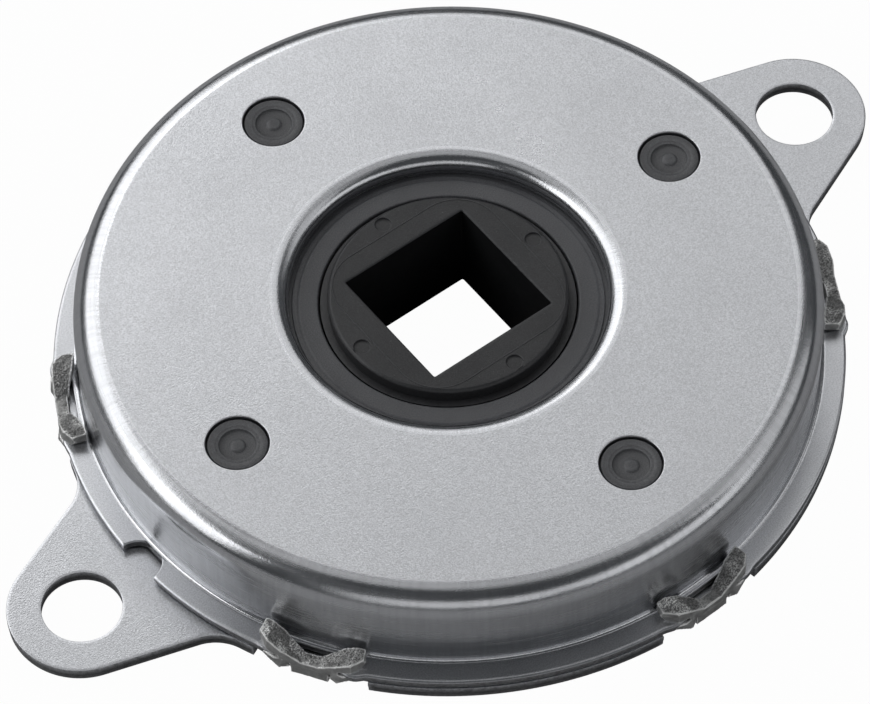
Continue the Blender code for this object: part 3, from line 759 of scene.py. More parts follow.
class DAMPER_OT_base_plate(bpy.types.Operator):
    """Make the base plate with its ears"""

    bl_idname = "damper.base_plate"
    bl_label = "Base Plate"

    def execute(self, context):
        make_base_plate(context.scene.damper_base_plate, context.scene.damper_steel)
        return {"FINISHED"}


# ---------------------------------------------------------------- crimps


def add_hull(bm, points):
    """A solid with flat facets round the points, each (outwards, across, up) in mm from the
    rim at the flange's top; the points follow the rim's curve."""
    verts = []
    for out, across, up in points:
        x = RIM_RADIUS + (out - across * across / (2 * RIM_RADIUS / MM)) * MM
        verts.append(bm.verts.new((x, across * MM, FLANGE_TOP + up * MM)))
    made = bmesh.ops.convex_hull(bm, input=verts)
    spare = made["geom_interior"] + made["geom_unused"]
    spare = {item for item in spare if isinstance(item, bmesh.types.BMVert)}
    bmesh.ops.delete(bm, geom=list(spare), context="VERTS")


def lug_hulls(settings, shelf, dice):
    """The neck, the head and the skirt of one lug, as points for add_hull."""
    reach = settings.lug_reach / MM + dice.uniform(-0.25, 0.2)
    rise = settings.lug_rise / MM + dice.uniform(-0.2, 0.15)
    lean = dice.uniform(0.3, 0.85)
    bulge = dice.uniform(0.1, 0.35)
    tilt = dice.uniform(0.1, 0.4)
    throat = dice.uniform(1.2, 1.5)
    neck = [(0.02, 0.75, -1.5), (-1.1, 0.75, -1.5), (-1.15, 0.8, shelf), (0.05, 0.8, shelf - 0.1)]
    neck += [(0.0, 1.7, -1.2), (-1.2, 1.7, -1.2), (0.15, 1.5, shelf + 0.2)]
    neck += [(-1.3, 1.6, shelf + 0.55), (bulge, 2.7, -0.2), (-1.5, 2.7, 0.0)]
    neck += [(bulge * 0.8, 2.6, rise * 0.55), (-1.5, 2.6, rise * 0.8)]
    head = [(0.1, throat, shelf + 0.05), (-1.25, throat + 0.1, shelf + 0.25)]
    head += [(bulge, 2.4, 0.0), (bulge * 0.9, 2.5, rise * 0.5), (-1.5, 2.4, 0.1)]
    head += [(-1.6, 2.6, rise * 0.8), (bulge * 0.6, 3.8, 0.0), (bulge * 0.4, 3.8, rise - tilt)]
    head += [(-1.9, 3.7, 0.25), (-1.85, 3.8, rise), (-lean, reach - 0.3, 0.02)]
    head += [(-lean - 0.1, reach - 0.15, rise - tilt - 0.1), (-1.9, reach - 0.35, 0.3)]
    head += [(-1.9, reach - 0.3, rise - 0.12), (-lean - 0.3, reach, rise * 0.4)]
    skirt = [(-0.6, 1.9, -1.3), (0.05, 1.8, -1.6), (bulge + 0.2, 2.6, -1.5)]
    skirt += [(bulge - 0.1, 4.2, -0.7), (bulge, 2.3, -0.3), (bulge + 0.1, 3.2, -0.35)]
    skirt += [(bulge - 0.15, 4.2, -0.3), (-0.6, 4.3, -0.3)]
    return neck, head, skirt


def crimp_blank(settings, dice):
    """The tab's root, the sheared shelf in its middle, and a lug on either side."""
    bm = bmesh.new()
    root = dice.uniform(1.5, 1.75)
    shelf = dice.uniform(-0.35, -0.05)
    slope_up = dice.uniform(-0.1, 0.2)
    foot = 0.05 - FLANGE_TOP / MM
    edges = [(-1.1, foot, shelf - 0.3), (0.0, foot, shelf - 0.3)]
    add_hull(bm, [(out, side * root, up) for out, *ups in edges for side in (-1, 1) for up in ups])
    front = dice.uniform(0.05, 0.2)
    edges = [(-1.0, shelf - 0.8, shelf + slope_up), (front, shelf - 0.8, shelf - slope_up)]
    add_hull(bm, [(out, side * 1.15, up) for out, *ups in edges for side in (-1, 1) for up in ups])
    for side in (-1, 1):
        for points in lug_hulls(settings, shelf, dice):
            add_hull(bm, [(out, side * across, up) for out, across, up in points])
    bmesh.ops.recalc_face_normals(bm, faces=bm.faces)
    return mesh_of(bm, "crimp_blank")


def remeshed(mesh, voxel):
    """Overlapping closed shapes made one evenly meshed body."""
    blank = placed("blank", mesh)
    modifier = blank.modifiers.new("remesh", "REMESH")
    modifier.mode = "VOXEL"
    modifier.voxel_size = voxel
    graph = bpy.context.evaluated_depsgraph_get()
    made = bpy.data.meshes.new_from_object(blank.evaluated_get(graph))
    bpy.data.objects.remove(blank)
    bpy.data.meshes.remove(mesh)
    return made


def averaged(values, ends, shares, times):
    """Each point's value, averaged with those of its neighbours again and again."""
    for _ in range(times):
        total = np.zeros_like(values)
        np.add.at(total, ends[:, 0], values[ends[:, 1]])
        np.add.at(total, ends[:, 1], values[ends[:, 0]])
        values = 0.5 * values + 0.5 * total * shares
    return values


# How far a lug's rim stands out, in mm. A lug lit more than SLIT_FROM has a slit in its end, its
# depth counted in tear depths and its half width in mm.
RIM_STANDING = 0.025
SLIT_FROM, SLIT_DEPTH, SLIT_HALF_WIDTH = 0.45, 2.2, 0.13


def upset(mesh, settings, seed, dice):
    """Tears and dents the faces that the wedge split, and marks the rims it left standing."""
    count = len(mesh.vertices)
    spots, normals = np.empty(count * 3), np.empty(count * 3)
    ends = np.empty(len(mesh.edges) * 2, np.int32)
    mesh.vertices.foreach_get("co", spots)
    mesh.edges.foreach_get("vertices", ends)
    spots, ends = spots.reshape(-1, 3), ends.reshape(-1, 2)
    shares = 1 / np.maximum(np.bincount(ends.ravel(), minlength=count), 1)[:, None]
    spots = averaged(spots, ends, shares, 2)
    mesh.vertices.foreach_set("co", spots.ravel())
    mesh.update()
    mesh.vertices.foreach_get("normal", normals)
    normals = averaged(normals.reshape(-1, 3), ends, shares, 1)
    standing = ((spots - averaged(spots, ends, shares, 10)) * normals).sum(axis=1) / MM
    rims = np.clip(standing / RIM_STANDING - 0.4, 0, 1)

    outside, across, upward = normals.T
    heights = (spots[:, 2] - FLANGE_BOTTOM - COVER_SHEET) / MM  # above the flange
    inwards = -across * np.sign(spots[:, 1])
    split = np.clip(np.maximum(upward, inwards) * 3 - 1, 0, 1) * np.clip(1.6 - 2.2 * outside, 0, 1)
    torn = split * np.clip((heights + 0.5) / 0.3, 0, 1)
    lit = {-1: dice.uniform(0, 1), 1: dice.uniform(0, 1)}
    slit = {-1: dice.uniform(0.6, 1.0), 1: dice.uniform(0.6, 1.0)}
    shift = Vector((seed * 17.3, seed * 5.1, seed * 9.7))
    moves, fresh_and_highlight = np.zeros(count), np.zeros(count)
    for i, (x, y, z) in enumerate(spots / MM):
        spot = Vector((x, y, z)) + shift
        dents = noise.noise(spot * 0.8) + noise.noise(spot * 2.1) * 0.5
        grains = noise.noise(spot * 5.5) + 0.6 * noise.noise(spot * 11)
        crack = max(0.0, 1 - abs(noise.noise(spot * 1.3)) * 16)
        rough = 0.55 * dents + 0.55 * grains - 1.1 * crack
        smooth = 0.35 * dents + 0.12 * grains
        moves[i] = torn[i] * rough + (1 - torn[i]) * smooth
        side = 1 if y > 0 else -1
        if across[i] * side > 0.6 and lit[side] > SLIT_FROM:
            away = abs(heights[i] - slit[side] + 0.2 * noise.noise(spot))
            moves[i] -= SLIT_DEPTH * max(0.0, 1 - away / SLIT_HALF_WIDTH)
        # Painted highlight on torn faces, scaled by the lug's lit level; partly bare new steel too.
        fresh_and_highlight[i] = torn[i] * lit[side] * max(0.0, min(1.0, 0.55 + 1.5 * noise.noise(spot * 0.9)))
    spots += normals * (moves * settings.tear_depth)[:, None]
    mesh.vertices.foreach_set("co", spots.ravel())
    mesh.update()
    for name, values in (("torn", torn), ("fresh_and_highlight", fresh_and_highlight), ("rims", rims)):
        attribute = mesh.attributes.new(name, "FLOAT", "POINT")
        attribute.data.foreach_set("value", values.astype(np.float32))
    mesh.shade_smooth()


def make_crimps(settings, steel):
    """Six crimps, each torn in its own way."""
    material = crimped_finish(steel)
    for count, angle in enumerate(CRIMP_ANGLES, 1):
        dice = random.Random(settings.seed * 100 + count)
        mesh = remeshed(crimp_blank(settings, dice), settings.voxel)
        upset(mesh, settings, settings.seed + count, dice)
        mesh.transform(Matrix.Rotation(angle, 4, "Z"))
        mesh.name = f"crimp_{count}"
        add_piece(f"crimp_{count}", mesh, [material], "housing", "zinc_steel", "base_plate")


class DAMPER_OT_crimps(bpy.types.Operator):
    """Make the six crimped tabs"""

    bl_idname = "damper.crimps"
    bl_label = "Crimps"

    def execute(self, context):
        make_crimps(context.scene.damper_crimps, context.scene.damper_steel)
        return {"FINISHED"}


# ---------------------------------------------------------------- cover


def notch_cut(radius):
    """The half-round notch, centred on the rim."""
    lean = math.asin(radius / 2 / RIM_RADIUS)
    return arc((RIM_RADIUS, 0), radius, -QUARTER - lean, -TURN + QUARTER + lean, 24)[1:-1]


def slot_cut(depth):
    """A slot for a tab, with rounded corners."""
    bottom, soft = RIM_RADIUS - depth, 0.4 * MM
    corners = [(bottom, -SLOT_HALF_WIDTH), (bottom, SLOT_HALF_WIDTH)]
    cut = soft_corner((RIM_RADIUS, -SLOT_HALF_WIDTH), corners[0], corners[1], soft)
    return cut + soft_corner(corners[0], corners[1], (RIM_RADIUS, SLOT_HALF_WIDTH), soft)


def flange_outline(settings):
    """The cover's rim with six slots and the half-round notch, and how far its edge rolls over."""
    slot = slot_cut(RIM_RADIUS - DOME_RADIUS - settings.foot_radius - 0.2 * MM)
    half_slot = math.asin(SLOT_HALF_WIDTH / RIM_RADIUS)
    half_notch = 2 * math.asin(settings.notch_radius / 2 / RIM_RADIUS)
    cuts = [(angle, half_slot, slot) for angle in CRIMP_ANGLES]
    cuts = sorted(cuts + [(NOTCH_ANGLE, half_notch, notch_cut(settings.notch_radius))])
    dice = random.Random(3)
    bulges = []
    for angle in CRIMP_ANGLES:
        for away in (-3.9 * MM, 3.9 * MM):
            bulges.append((angle + away / RIM_RADIUS, dice.uniform(0.15, 0.4) * MM))
    outline, rolls, start = [], [], cuts[-1][0] + cuts[-1][1] - TURN
    for angle, half, cut in cuts:
        stretch = bulged(rim_stretch(RIM_RADIUS, start, angle - half, 0.5), bulges)
        outline += stretch + turned(cut, angle)
        rolls += [1.0] * len(stretch) + [0.35] * len(cut)
        start = angle + half
    return outline, np.array(rolls)


def bulged(points, bulges):
    """A stretch of the rim, pushed outwards where the lugs were pressed down on it."""
    made = []
    for x, y in points:
        angle, out = math.atan2(y, x), 0.0
        for middle, height in bulges:
            away = math.remainder(angle - middle, TURN) * RIM_RADIUS / (1.25 * MM)
            if abs(away) < 1:
                out += height * (1 - away * away) ** 1.5
        made.append((x * (1 + out / RIM_RADIUS), y * (1 + out / RIM_RADIUS)))
    return made


def wall_profile(settings):
    """The outer skin, from the flange up the wall and round the corner to the flat top."""
    foot, corner = settings.foot_radius, settings.corner_radius
    wall, start, end = DOME_RADIUS - 0.03 * MM, FLANGE_TOP + foot + 0.45 * MM, COVER_TOP - corner
    steps = 6
    profile = [(DOME_RADIUS + foot + 0.05 * MM, FLANGE_TOP)]
    profile += arc((DOME_RADIUS + foot, FLANGE_TOP + foot), foot, 3 * QUARTER, 2 * QUARTER, 8)
    profile += offsets(DOME_RADIUS, FLANGE_TOP + foot, [(0, 0.15), (-0.03, 0.3)])
    profile += [(wall, start + (end - start) * i / steps) for i in range(steps)]
    profile += arc((DOME_RADIUS - corner, end), corner, 0, QUARTER, 22)
    return profile + [(DOME_RADIUS - corner - 0.3 * MM, COVER_TOP)]


def lip_profile(settings):
    """The lip round the hub, from the flat top down to its cut end, and up again inside."""
    lip, drop, hole = settings.lip_width, settings.lip_drop, CENTRE_HOLE_RADIUS
    end, soft = COVER_TOP - settings.lip_depth, 0.2 * MM
    inner, under = hole + COVER_SHEET, COVER_TOP - COVER_SHEET
    profile = [(hole + lip + 0.2 * MM, COVER_TOP)]
    for down, inwards in arc((0, 0), 1, 0, QUARTER, 18):
        profile.append((hole + lip - lip * inwards, COVER_TOP - drop + drop * down))
    profile += offsets(hole, end, LIP_CUT_OUTSIDE) + offsets(inner, end, LIP_CUT_INSIDE)
    profile += arc((inner + soft, under - soft), soft, 2 * QUARTER, QUARTER, 4)
    return profile + [(hole + lip + 0.3 * MM, under)]


def peg_hole_profile(radius):
    """A peg hole, rounded where the punch went in."""
    soft, under = 0.1 * MM, COVER_TOP - COVER_SHEET
    profile = [(radius + soft + 0.08 * MM, COVER_TOP)]
    profile += arc((radius + soft, COVER_TOP - soft), soft, QUARTER, 2 * QUARTER, 6)
    return profile + offsets(radius, under, [(0, 0.05), (0.05, 0), (0.15, 0)])


def inner_profile(settings):
    """The inner skin, from the flange's underside up to the top's."""
    foot, corner = settings.foot_radius, settings.corner_radius
    profile = [(DOME_RADIUS + foot + 0.05 * MM, FLANGE_BOTTOM)]
    centre = (DOME_RADIUS + foot, FLANGE_TOP + foot)
    profile += arc(centre, foot + COVER_SHEET, 3 * QUARTER, 2 * QUARTER, 6)
    centre = (DOME_RADIUS - corner, COVER_TOP - corner)
    profile += arc(centre, corner - COVER_SHEET, 0, QUARTER, 8)
    return profile + [(DOME_RADIUS - corner - 0.3 * MM, COVER_TOP - COVER_SHEET)]


def make_cover(settings, steel):
    """The drawn cup: flange, wall, rounded top with four peg holes, and a lip rolled down."""
    segments = 240
    outline, rolls = flange_outline(settings)
    roll = settings.roll_over
    edge = [(roll + 0.12 * MM, FLANGE_TOP)]
    edge += [(roll * part, FLANGE_TOP + up * MM) for part, up in COVER_ROLL_OVER]
    edge += offsets(0, FLANGE_BOTTOM, COVER_BURR)

    skin = Skin()
    rim = [skin.row(inset(outline, distance * rolls), height) for distance, height in edge]
    skin.edge(rim, 5, 8, 2)
    outside = skin.turned_rows(wall_profile(settings), segments)
    skin.bands(outside[:-1], 1)
    skin.bands(outside[-2:])
    skin.level([rim[0], outside[0]])
    lip_rows = skin.turned_rows(lip_profile(settings), segments)
    skin.bands(lip_rows, 1)

    top_holes, under_holes = [], []
    for centre in PEG_CENTRES:
        rows = skin.turned_rows(peg_hole_profile(settings.peg_hole_radius), 72, centre)
        skin.bands(rows)
        top_holes.append(rows[0])
        under_holes.append(rows[-1])
    skin.level([outside[-1], lip_rows[0]] + top_holes)

    inside = skin.turned_rows(inner_profile(settings), segments)
    skin.bands(inside)
    skin.level([rim[-1], inside[0]])
    skin.level([inside[-1], lip_rows[-1]] + under_holes)
    materials = [zinc_face_finish(steel), drawn_finish(steel), sheared_finish(steel)]
    mesh = skin.mesh("cover_shell")
    add_piece("cover_shell", mesh, materials, "housing", "zinc_steel", "cover")


class DAMPER_OT_cover(bpy.types.Operator):
    """Make the drawn cover"""

    bl_idname = "damper.cover"
    bl_label = "Cover"

    def execute(self, context):
        make_cover(context.scene.damper_cover, context.scene.damper_steel)
        return {"FINISHED"}


# ---------------------------------------------------------------- carrier and pegs


def make_carrier(material):
    """The moulded cup inside the cover, keyed for the fixed discs."""
    radius, wall, corner = 31.7 * MM, 1.9 * MM, 1.8 * MM
    rebate = 1.24 * MM
    shoulder, seat = CARRIER_BOTTOM + rebate, radius - rebate + 0.02 * MM
    plate_top = COVER_TOP - COVER_SHEET - SEAT_GAP
    plate_bottom, plate_hole = HIGHEST_DISC + SEAT_GAP, 16.5 * MM
    segments, key_width, keys = 180, 6.6 * MM, 6
    inner = radius - wall
    keyed = keyed_outline(inner, inner + 1.1 * MM, key_width, keys, segments)
    narrow = keyed_outline(inner, inner + 0.4 * MM, key_width, keys, segments)

    skin = Skin()
    profile = [(seat, CARRIER_BOTTOM), (seat, shoulder), (radius, shoulder)]
    profile += arc((radius - corner, plate_top - corner), corner, 0, QUARTER, 8)
    profile += [(plate_hole, plate_top), (plate_hole, plate_bottom)]
    rows = skin.turned_rows(profile, segments)
    skin.bands(rows)
    upper, lower = skin.row(keyed, plate_bottom), skin.row(keyed, shoulder)
    foot = skin.row(narrow, CARRIER_BOTTOM)
    skin.bands([upper, lower, foot])
    skin.level([upper, rows[-1]])
    skin.level([rows[0], foot])
    mesh = skin.mesh("carrier_cup")
    add_piece("carrier_cup", mesh, [material], "housing", "black_plastic", "disc_carrier")


def make_pegs(settings, material):
    """Four pegs with a dished end and the gate's nipple in it."""
    radius, soft = settings.peg_radius, settings.moulding_round
    dish, nipple = radius * 0.62, radius * 0.26
    top, root = PEG_TOP + 0.08 * MM, PEG_TOP - 3 * MM
    floor = top - 0.28 * MM
    profile = [(radius, root), (radius, top - 2 * soft), (radius, top - soft)]
    profile += arc((radius - soft, top - soft), soft, 0, QUARTER, 5)[1:]
    profile += [(radius - 2 * soft, top)] + offsets(dish, top, PEG_RIM)
    profile += offsets(dish, floor, PEG_DISH) + offsets(nipple, floor, PEG_NIPPLE)
    profile += [(nipple * 0.3, floor + 0.21 * MM)]
    for count, centre in enumerate(PEG_CENTRES, 1):
        skin = Skin()
        rows = skin.turned_rows(profile, 64, centre)
        skin.bands(rows)
        skin.level([rows[0]])
        skin.level([rows[-1]])
        name = f"carrier_peg_{count}"
        add_piece(name, skin.mesh(name), [material], "housing", "black_plastic", "disc_carrier")


class DAMPER_OT_carrier(bpy.types.Operator):
    """Make the disc carrier and its four pegs"""

    bl_idname = "damper.carrier"
    bl_label = "Carrier and Pegs"

    def execute(self, context):
        settings = context.scene.damper_plastic
        material = plastic_finish("black_plastic_pegs", settings.peg_black, 0.45, 0.1, 0.03)
        make_carrier(material)
        make_pegs(settings, material)
        return {"FINISHED"}


# ---------------------------------------------------------------- bushes


def make_collar(material):
    """The ring that shows round the hub: flat top, stepped outer edge, hidden flange below."""
    inner = JOURNAL_RADIUS + RUNNING_GAP
    flange_top = COVER_TOP - 1.9 * MM - SEAT_GAP
    profile = [(inner, COLLAR_BOTTOM), (BUSH_FLANGE_RADIUS, COLLAR_BOTTOM)]
    profile += [(BUSH_FLANGE_RADIUS, flange_top), (BUSH_RADIUS, flange_top)]
    profile = softened(profile, 0.06 * MM, 2)[3:-3]
    profile += [(BUSH_RADIUS, flange_top), (BUSH_RADIUS, COLLAR_TOP - 0.24 * MM)]
    edge = (BUSH_RADIUS - 0.1 * MM, COLLAR_TOP - 0.22 * MM)
    profile += arc(edge, 0.1 * MM, 0, QUARTER, 4)
    profile += offsets(BUSH_RADIUS, COLLAR_TOP, COLLAR_STEP)
    soft = 0.2 * MM
    profile += [(inner + 0.35 * MM, COLLAR_TOP)]
    profile += arc((inner + soft, COLLAR_TOP - soft), soft, QUARTER, 2 * QUARTER, 5)
    profile += [(inner, COLLAR_BOTTOM)]
    mesh = turned_mesh("collar", profile, 200, sharp=40)
    add_piece("collar", mesh, [material], "housing", "grey_plastic", "top_collar")


def make_bush(settings, material):
    """The collar's partner in the base plate, seen from below."""
    inner = JOURNAL_RADIUS + RUNNING_GAP
    seat, flange_top = BASE_SHEET + SEAT_GAP, BASE_SHEET + SEAT_GAP + 0.8 * MM
    profile = [(inner, BUSH_BOTTOM), (BUSH_RADIUS, BUSH_BOTTOM), (BUSH_RADIUS, seat)]
    profile += [(BUSH_FLANGE_RADIUS, seat), (BUSH_FLANGE_RADIUS, flange_top)]
    profile += [(BUSH_RADIUS, flange_top), (BUSH_RADIUS, BUSH_TOP), (inner, BUSH_TOP)]
    mesh = turned_mesh("base_bush", softened(profile, settings.moulding_round), 160)
    add_piece("base_bush", mesh, [material], "housing", "grey_plastic", "bottom_bush")


class DAMPER_OT_bushes(bpy.types.Operator):
    """Make the collar round the hub and the bush in the base plate"""

    bl_idname = "damper.bushes"
    bl_label = "Collar and Bush"

    def execute(self, context):
        settings = context.scene.damper_plastic
        material = plastic_finish("grey_plastic", settings.grey, 0.4, 0.1, 0.012)
        make_collar(material)
        make_bush(settings, material)
        return {"FINISHED"}


# ---------------------------------------------------------------- hub


def seal_groove(node):
    """The journal's groove round an O-ring."""
    groove, room = JOURNAL_RADIUS - 0.75 * MM, 0.07 * MM
    bottom, top = levels(node)
    low, high = bottom - room, top + room
    return [(JOURNAL_RADIUS, low), (groove, low), (groove, high), (JOURNAL_RADIUS, high)]


def make_hub(settings, materials):
    """The square-bored hub, its core keyed for the turning discs."""
    segments, half = 160, settings.square_side / 2
    core_half, ledge = 1.75 * MM, COLLAR_TOP - SEAT_GAP
    core = DISCS_MIDDLE - core_half, DISCS_MIDDLE + core_half
    boss = JOURNAL_RADIUS - 0.65 * MM
    journal = offsets(JOURNAL_RADIUS, HUB_BOTTOM, HUB_FOOT)
    journal += seal_groove("bottom_hub_seal") + [(JOURNAL_RADIUS, core[0])]
    skin = Skin()
    below = skin.turned_rows(journal, segments)
    journal = [(JOURNAL_RADIUS, core[1])] + seal_groove("top_hub_seal")
    journal += [(JOURNAL_RADIUS, ledge), (boss, ledge)] + offsets(boss, HUB_TOP, HUB_BOSS)
    above = skin.turned_rows(journal, segments)
    skin.bands(below)
    skin.bands(above)
    keyed = keyed_outline(12.6 * MM, 14.1 * MM, 4 * MM, 4, segments)
    core_rows = [skin.row(keyed, height) for height in core]
    skin.bands(core_rows)
    skin.level([core_rows[0], below[-1]])
    skin.level([core_rows[1], above[0]])

    shape = [square_outline(half + wider * MM, (0.15 + wider) * MM) for wider, _ in BORE_MOUTH]
    mouth = list(zip(shape, [down * MM for _, down in BORE_MOUTH]))
    rows = [skin.row(points, HUB_TOP - down) for points, down in mouth]
    rows += [skin.row(points, HUB_BOTTOM + down) for points, down in mouth[::-1]]
    skin.edge(rows, 5, len(rows) - 4, 1)

    # Witness line of the mould's core, a fine raised square
    side, corner = 8.4, 4.06 * MM
    witness = []
    for out, up in WITNESS_LINE:
        points = square_outline((side + out) * MM, corner + out * MM, 16)
        witness.append(skin.row(points, HUB_TOP + up * MM))
    skin.bands(witness)

    # Ejector dimples
    dimples = []
    radius, floor = 0.74 * MM, HUB_TOP - 0.2 * MM
    profile = offsets(radius, HUB_TOP, DIMPLE_RIM) + offsets(radius, floor, DIMPLE_FLOOR)
    profile += [(radius * 0.3, floor)]
    for centre in circle(9.4 * MM, 4):
        ring = skin.turned_rows(profile, 32, centre)
        skin.bands(ring)
        skin.level([ring[-1]])
        dimples.append(ring[0])
    skin.level([above[-1], witness[0]] + dimples)
    skin.level([witness[-1], rows[0]])
    skin.level([below[0], rows[-1]])
    mesh = skin.mesh("hub")
    mesh.transform(Matrix.Rotation(ROTOR_REST_TURN, 4, "Z"))
    add_piece("hub", mesh, materials, "rotor", "black_plastic", "rotor_hub")


class DAMPER_OT_hub(bpy.types.Operator):
    """Make the turning hub with its square bore"""

    bl_idname = "damper.hub"
    bl_label = "Hub"

    def execute(self, context):
        settings = context.scene.damper_plastic
        face = plastic_finish("black_plastic_hub", settings.black, 0.42, 0.1, 0.02)
        make_hub(settings, [face, bore_finish(settings)])
        return {"FINISHED"}


# ---------------------------------------------------------------- inside


def make_inside(settings, plastic):
    """Finishes for the discs, spacers, washers and seals, which keep their CAD shape."""
    steel, rubber = disc_finish(settings), rubber_finish(settings)
    moulded = plastic_finish("black_plastic_inside", plastic.black, 0.45, 0.15, 0.008)
    washer = plastic_finish("grey_plastic_inside", plastic.grey, 0.4, 0.12, 0.006)
    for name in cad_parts:
        obj = bpy.data.objects[name]
        if "seal" in name:
            material = rubber
        elif "disc_carrier" in name or "support" in name or "hub" in name:
            material = moulded
        elif "washer" in name or "collar" in name or "bush" in name:
            material = washer
        else:
            material = steel
        for place in obj.material_slots:
            place.material = material


class DAMPER_OT_inside(bpy.types.Operator):
    """Finish the discs, spacers, washers and seals inside the housing"""

    bl_idname = "damper.inside"
    bl_label = "Inside"

    def execute(self, context):
        make_inside(context.scene.damper_inside, context.scene.damper_plastic)
        return {"FINISHED"}


# ---------------------------------------------------------------- stage


# Name, azimuth and elevation in degrees, distance, width and height in metres, watts, and
# whether it lights matt surfaces too
SOFTBOXES = [
    ("side_softbox", 104, 40, 0.9, 1.15, 0.6, 3.36),
    ("left_softbox", 156, 28, 1.0, 0.5, 0.6, 1.79),
    ("back_softbox", 44, 48, 0.9, 0.6, 0.5, 0.81),
    ("front_softbox", -129, 22, 1.0, 0.95, 0.45, 0.83),
    ("right_softbox", -72, 22, 1.0, 0.95, 0.45, 1.02),
    ("far_softbox", -30, 38, 0.9, 0.5, 0.7, 0.6),
    ("top_softbox", 51, 82, 1.0, 1.0, 0.5, 0.66, False),
]
FLOOR_GLOW = 0.98
CAMERA_AIM = Vector((-2.7665, -1.4035, 5.5)) * MM


def floor_finish(colour):
    """Pale matt board, which glows softly for the camera alone."""
    finish = Finish("floor_board", colour, metallic=0.0, roughness=0.85)
    grain = finish.grain(size=0.8, cloud=60)
    finish.tone(finish.times(grain["Cloud"], 0.3), 0.98)
    finish.inputs["Specular IOR Level"].default_value = 0.1
    finish.bump(grain["Height"], 0.004)
    glow, both = finish.node("Emission"), finish.node("MixShader")
    glow.inputs["Color"].default_value = (1, 1, 1, 1)
    seen = finish.node("LightPath").outputs["Is Camera Ray"]
    nodes = finish.tree.nodes
    finish.feed(both.inputs["Fac"], finish.times(seen, FLOOR_GLOW))
    finish.feed(both.inputs[1], nodes["Principled BSDF"].outputs["BSDF"])
    finish.feed(both.inputs[2], glow.outputs["Emission"])
    finish.feed(nodes["Material Output"].inputs["Surface"], both.outputs[0])
    return finish.material


def make_floor(settings):
    """A large board with rounded corners, its upper face on the ground plane."""
    half, corner, thickness = 1.6, 0.1, 0.01
    skin = Skin()
    outline = square_outline(half, corner, 12)
    rows = [skin.row(outline, height) for height in (-thickness, 0.0)]
    skin.bands(rows)
    skin.bm.faces.new(rows[0][::-1])
    skin.bm.faces.new(rows[1])
    mesh = mesh_of(skin.bm, "floor")
    mesh.materials.append(floor_finish(settings.floor_colour))
    floor = placed("floor", mesh)


def direction(azimuth, elevation):
    """The way outwards from the part at the given angles."""
    flat = math.cos(elevation)
    return Vector((flat * math.cos(azimuth), flat * math.sin(azimuth), math.sin(elevation)))


def add_softbox(name, azimuth, elevation, distance, width, height, watts, diffuse=True):
    light = bpy.data.lights.new(name, "AREA")
    light.shape = "RECTANGLE"
    light.size, light.size_y = width, height
    light.energy = watts
    box = placed(name, light)
    way = direction(math.radians(azimuth), math.radians(elevation))
    box.location = way * distance
    box.rotation_euler = way.to_track_quat("Z", "Y").to_euler()
    box.visible_diffuse = diffuse


def make_lights():
    """Softboxes all round, and a dim, slightly blue room."""
    for softbox in SOFTBOXES:
        add_softbox(*softbox)
    world = bpy.data.worlds.new("studio")
    world.use_nodes = True
    background = world.node_tree.nodes["Background"]
    background.inputs["Color"].default_value = (0.9, 0.95, 1.0, 1)
    background.inputs["Strength"].default_value = 0.06
    bpy.context.scene.world = world


def make_camera(settings):
    away = direction(settings.azimuth, settings.elevation)
    upright = (Vector((0, 0, 1)) - away * away.z).normalized()
    right = upright.cross(away)
    up = upright * math.cos(settings.roll) + right * math.sin(settings.roll)
    data = bpy.data.cameras.new("camera")
    data.sensor_width = 36
    data.lens = settings.focal_length
    data.clip_start = 0.01
    camera = placed("camera", data)
    turn = Matrix((up.cross(away), up, away)).transposed()
    camera.matrix_world = Matrix.Translation(CAMERA_AIM + away * settings.distance) @ turn.to_4x4()
    bpy.context.scene.camera = camera


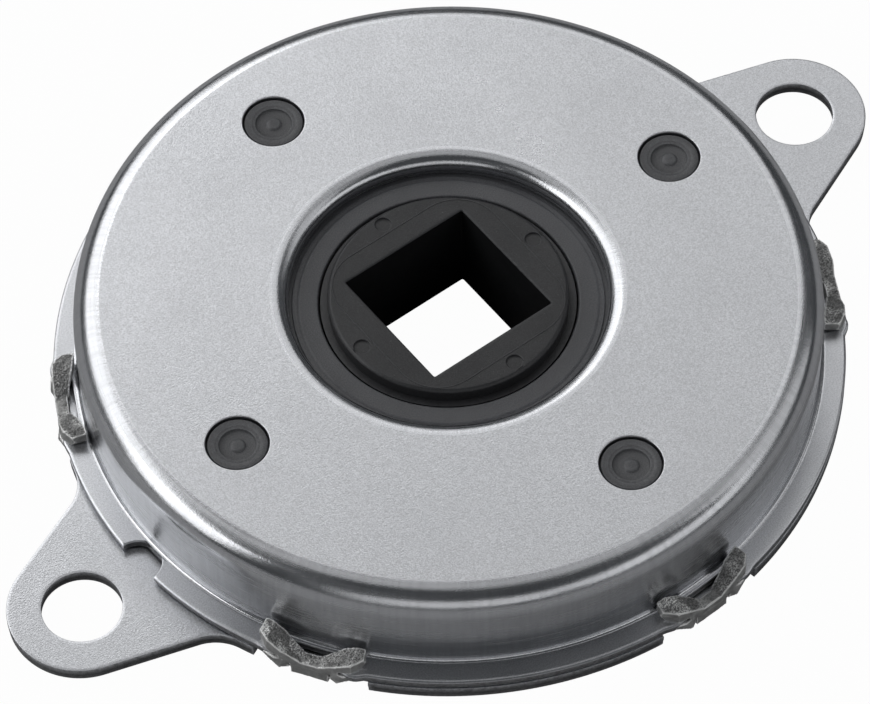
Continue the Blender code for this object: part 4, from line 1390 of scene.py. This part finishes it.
class DAMPER_OT_stage(bpy.types.Operator):
    """Make the floor, the lights and the camera"""

    bl_idname = "damper.stage"
    bl_label = "Stage"

    def execute(self, context):
        make_floor(context.scene.damper_stage)
        make_lights()
        make_camera(context.scene.damper_stage)
        context.scene.view_settings.view_transform = "Standard"
        return {"FINISHED"}


class DAMPER_OT_shader_groups(bpy.types.Operator):
    """Make the node groups that the finishes share"""

    bl_idname = "damper.shader_groups"
    bl_label = "Shader Groups"

    def execute(self, context):
        make_grain_group()
        make_round_grain_group()
        make_wear_and_highlight_group()
        make_dust_group()
        return {"FINISHED"}


# ---------------------------------------------------------------- add-on


OPERATORS = [
    DAMPER_OT_shader_groups,
    DAMPER_OT_stage,
    DAMPER_OT_inside,
    DAMPER_OT_base_plate,
    DAMPER_OT_crimps,
    DAMPER_OT_cover,
    DAMPER_OT_carrier,
    DAMPER_OT_bushes,
    DAMPER_OT_hub,
]


class DAMPER_PT_pieces(bpy.types.Panel):
    """Pieces of the damper, in the order in which they are made"""

    bl_label = "Damper"
    bl_idname = "DAMPER_PT_pieces"
    bl_space_type = "VIEW_3D"
    bl_region_type = "UI"
    bl_category = "Damper"

    def draw(self, context):
        for operator in OPERATORS:
            self.layout.operator(operator.bl_idname)


SETTINGS = {
    "damper_steel": SteelSettings,
    "damper_cover": CoverSettings,
    "damper_base_plate": BasePlateSettings,
    "damper_crimps": CrimpSettings,
    "damper_plastic": PlasticSettings,
    "damper_inside": InsideSettings,
    "damper_stage": StageSettings,
}
CLASSES = list(SETTINGS.values()) + OPERATORS + [DAMPER_PT_pieces]


def register():
    for cls in CLASSES:
        bpy.utils.register_class(cls)
    for name, cls in SETTINGS.items():
        setattr(bpy.types.Scene, name, PointerProperty(type=cls))


def unregister():
    for name in SETTINGS:
        delattr(bpy.types.Scene, name)
    for cls in reversed(CLASSES):
        bpy.utils.unregister_class(cls)


def main():
    register()
    for operator in OPERATORS:
        getattr(bpy.ops.damper, operator.bl_idname.split(".")[1])()


if __name__ == "__main__":
    main()
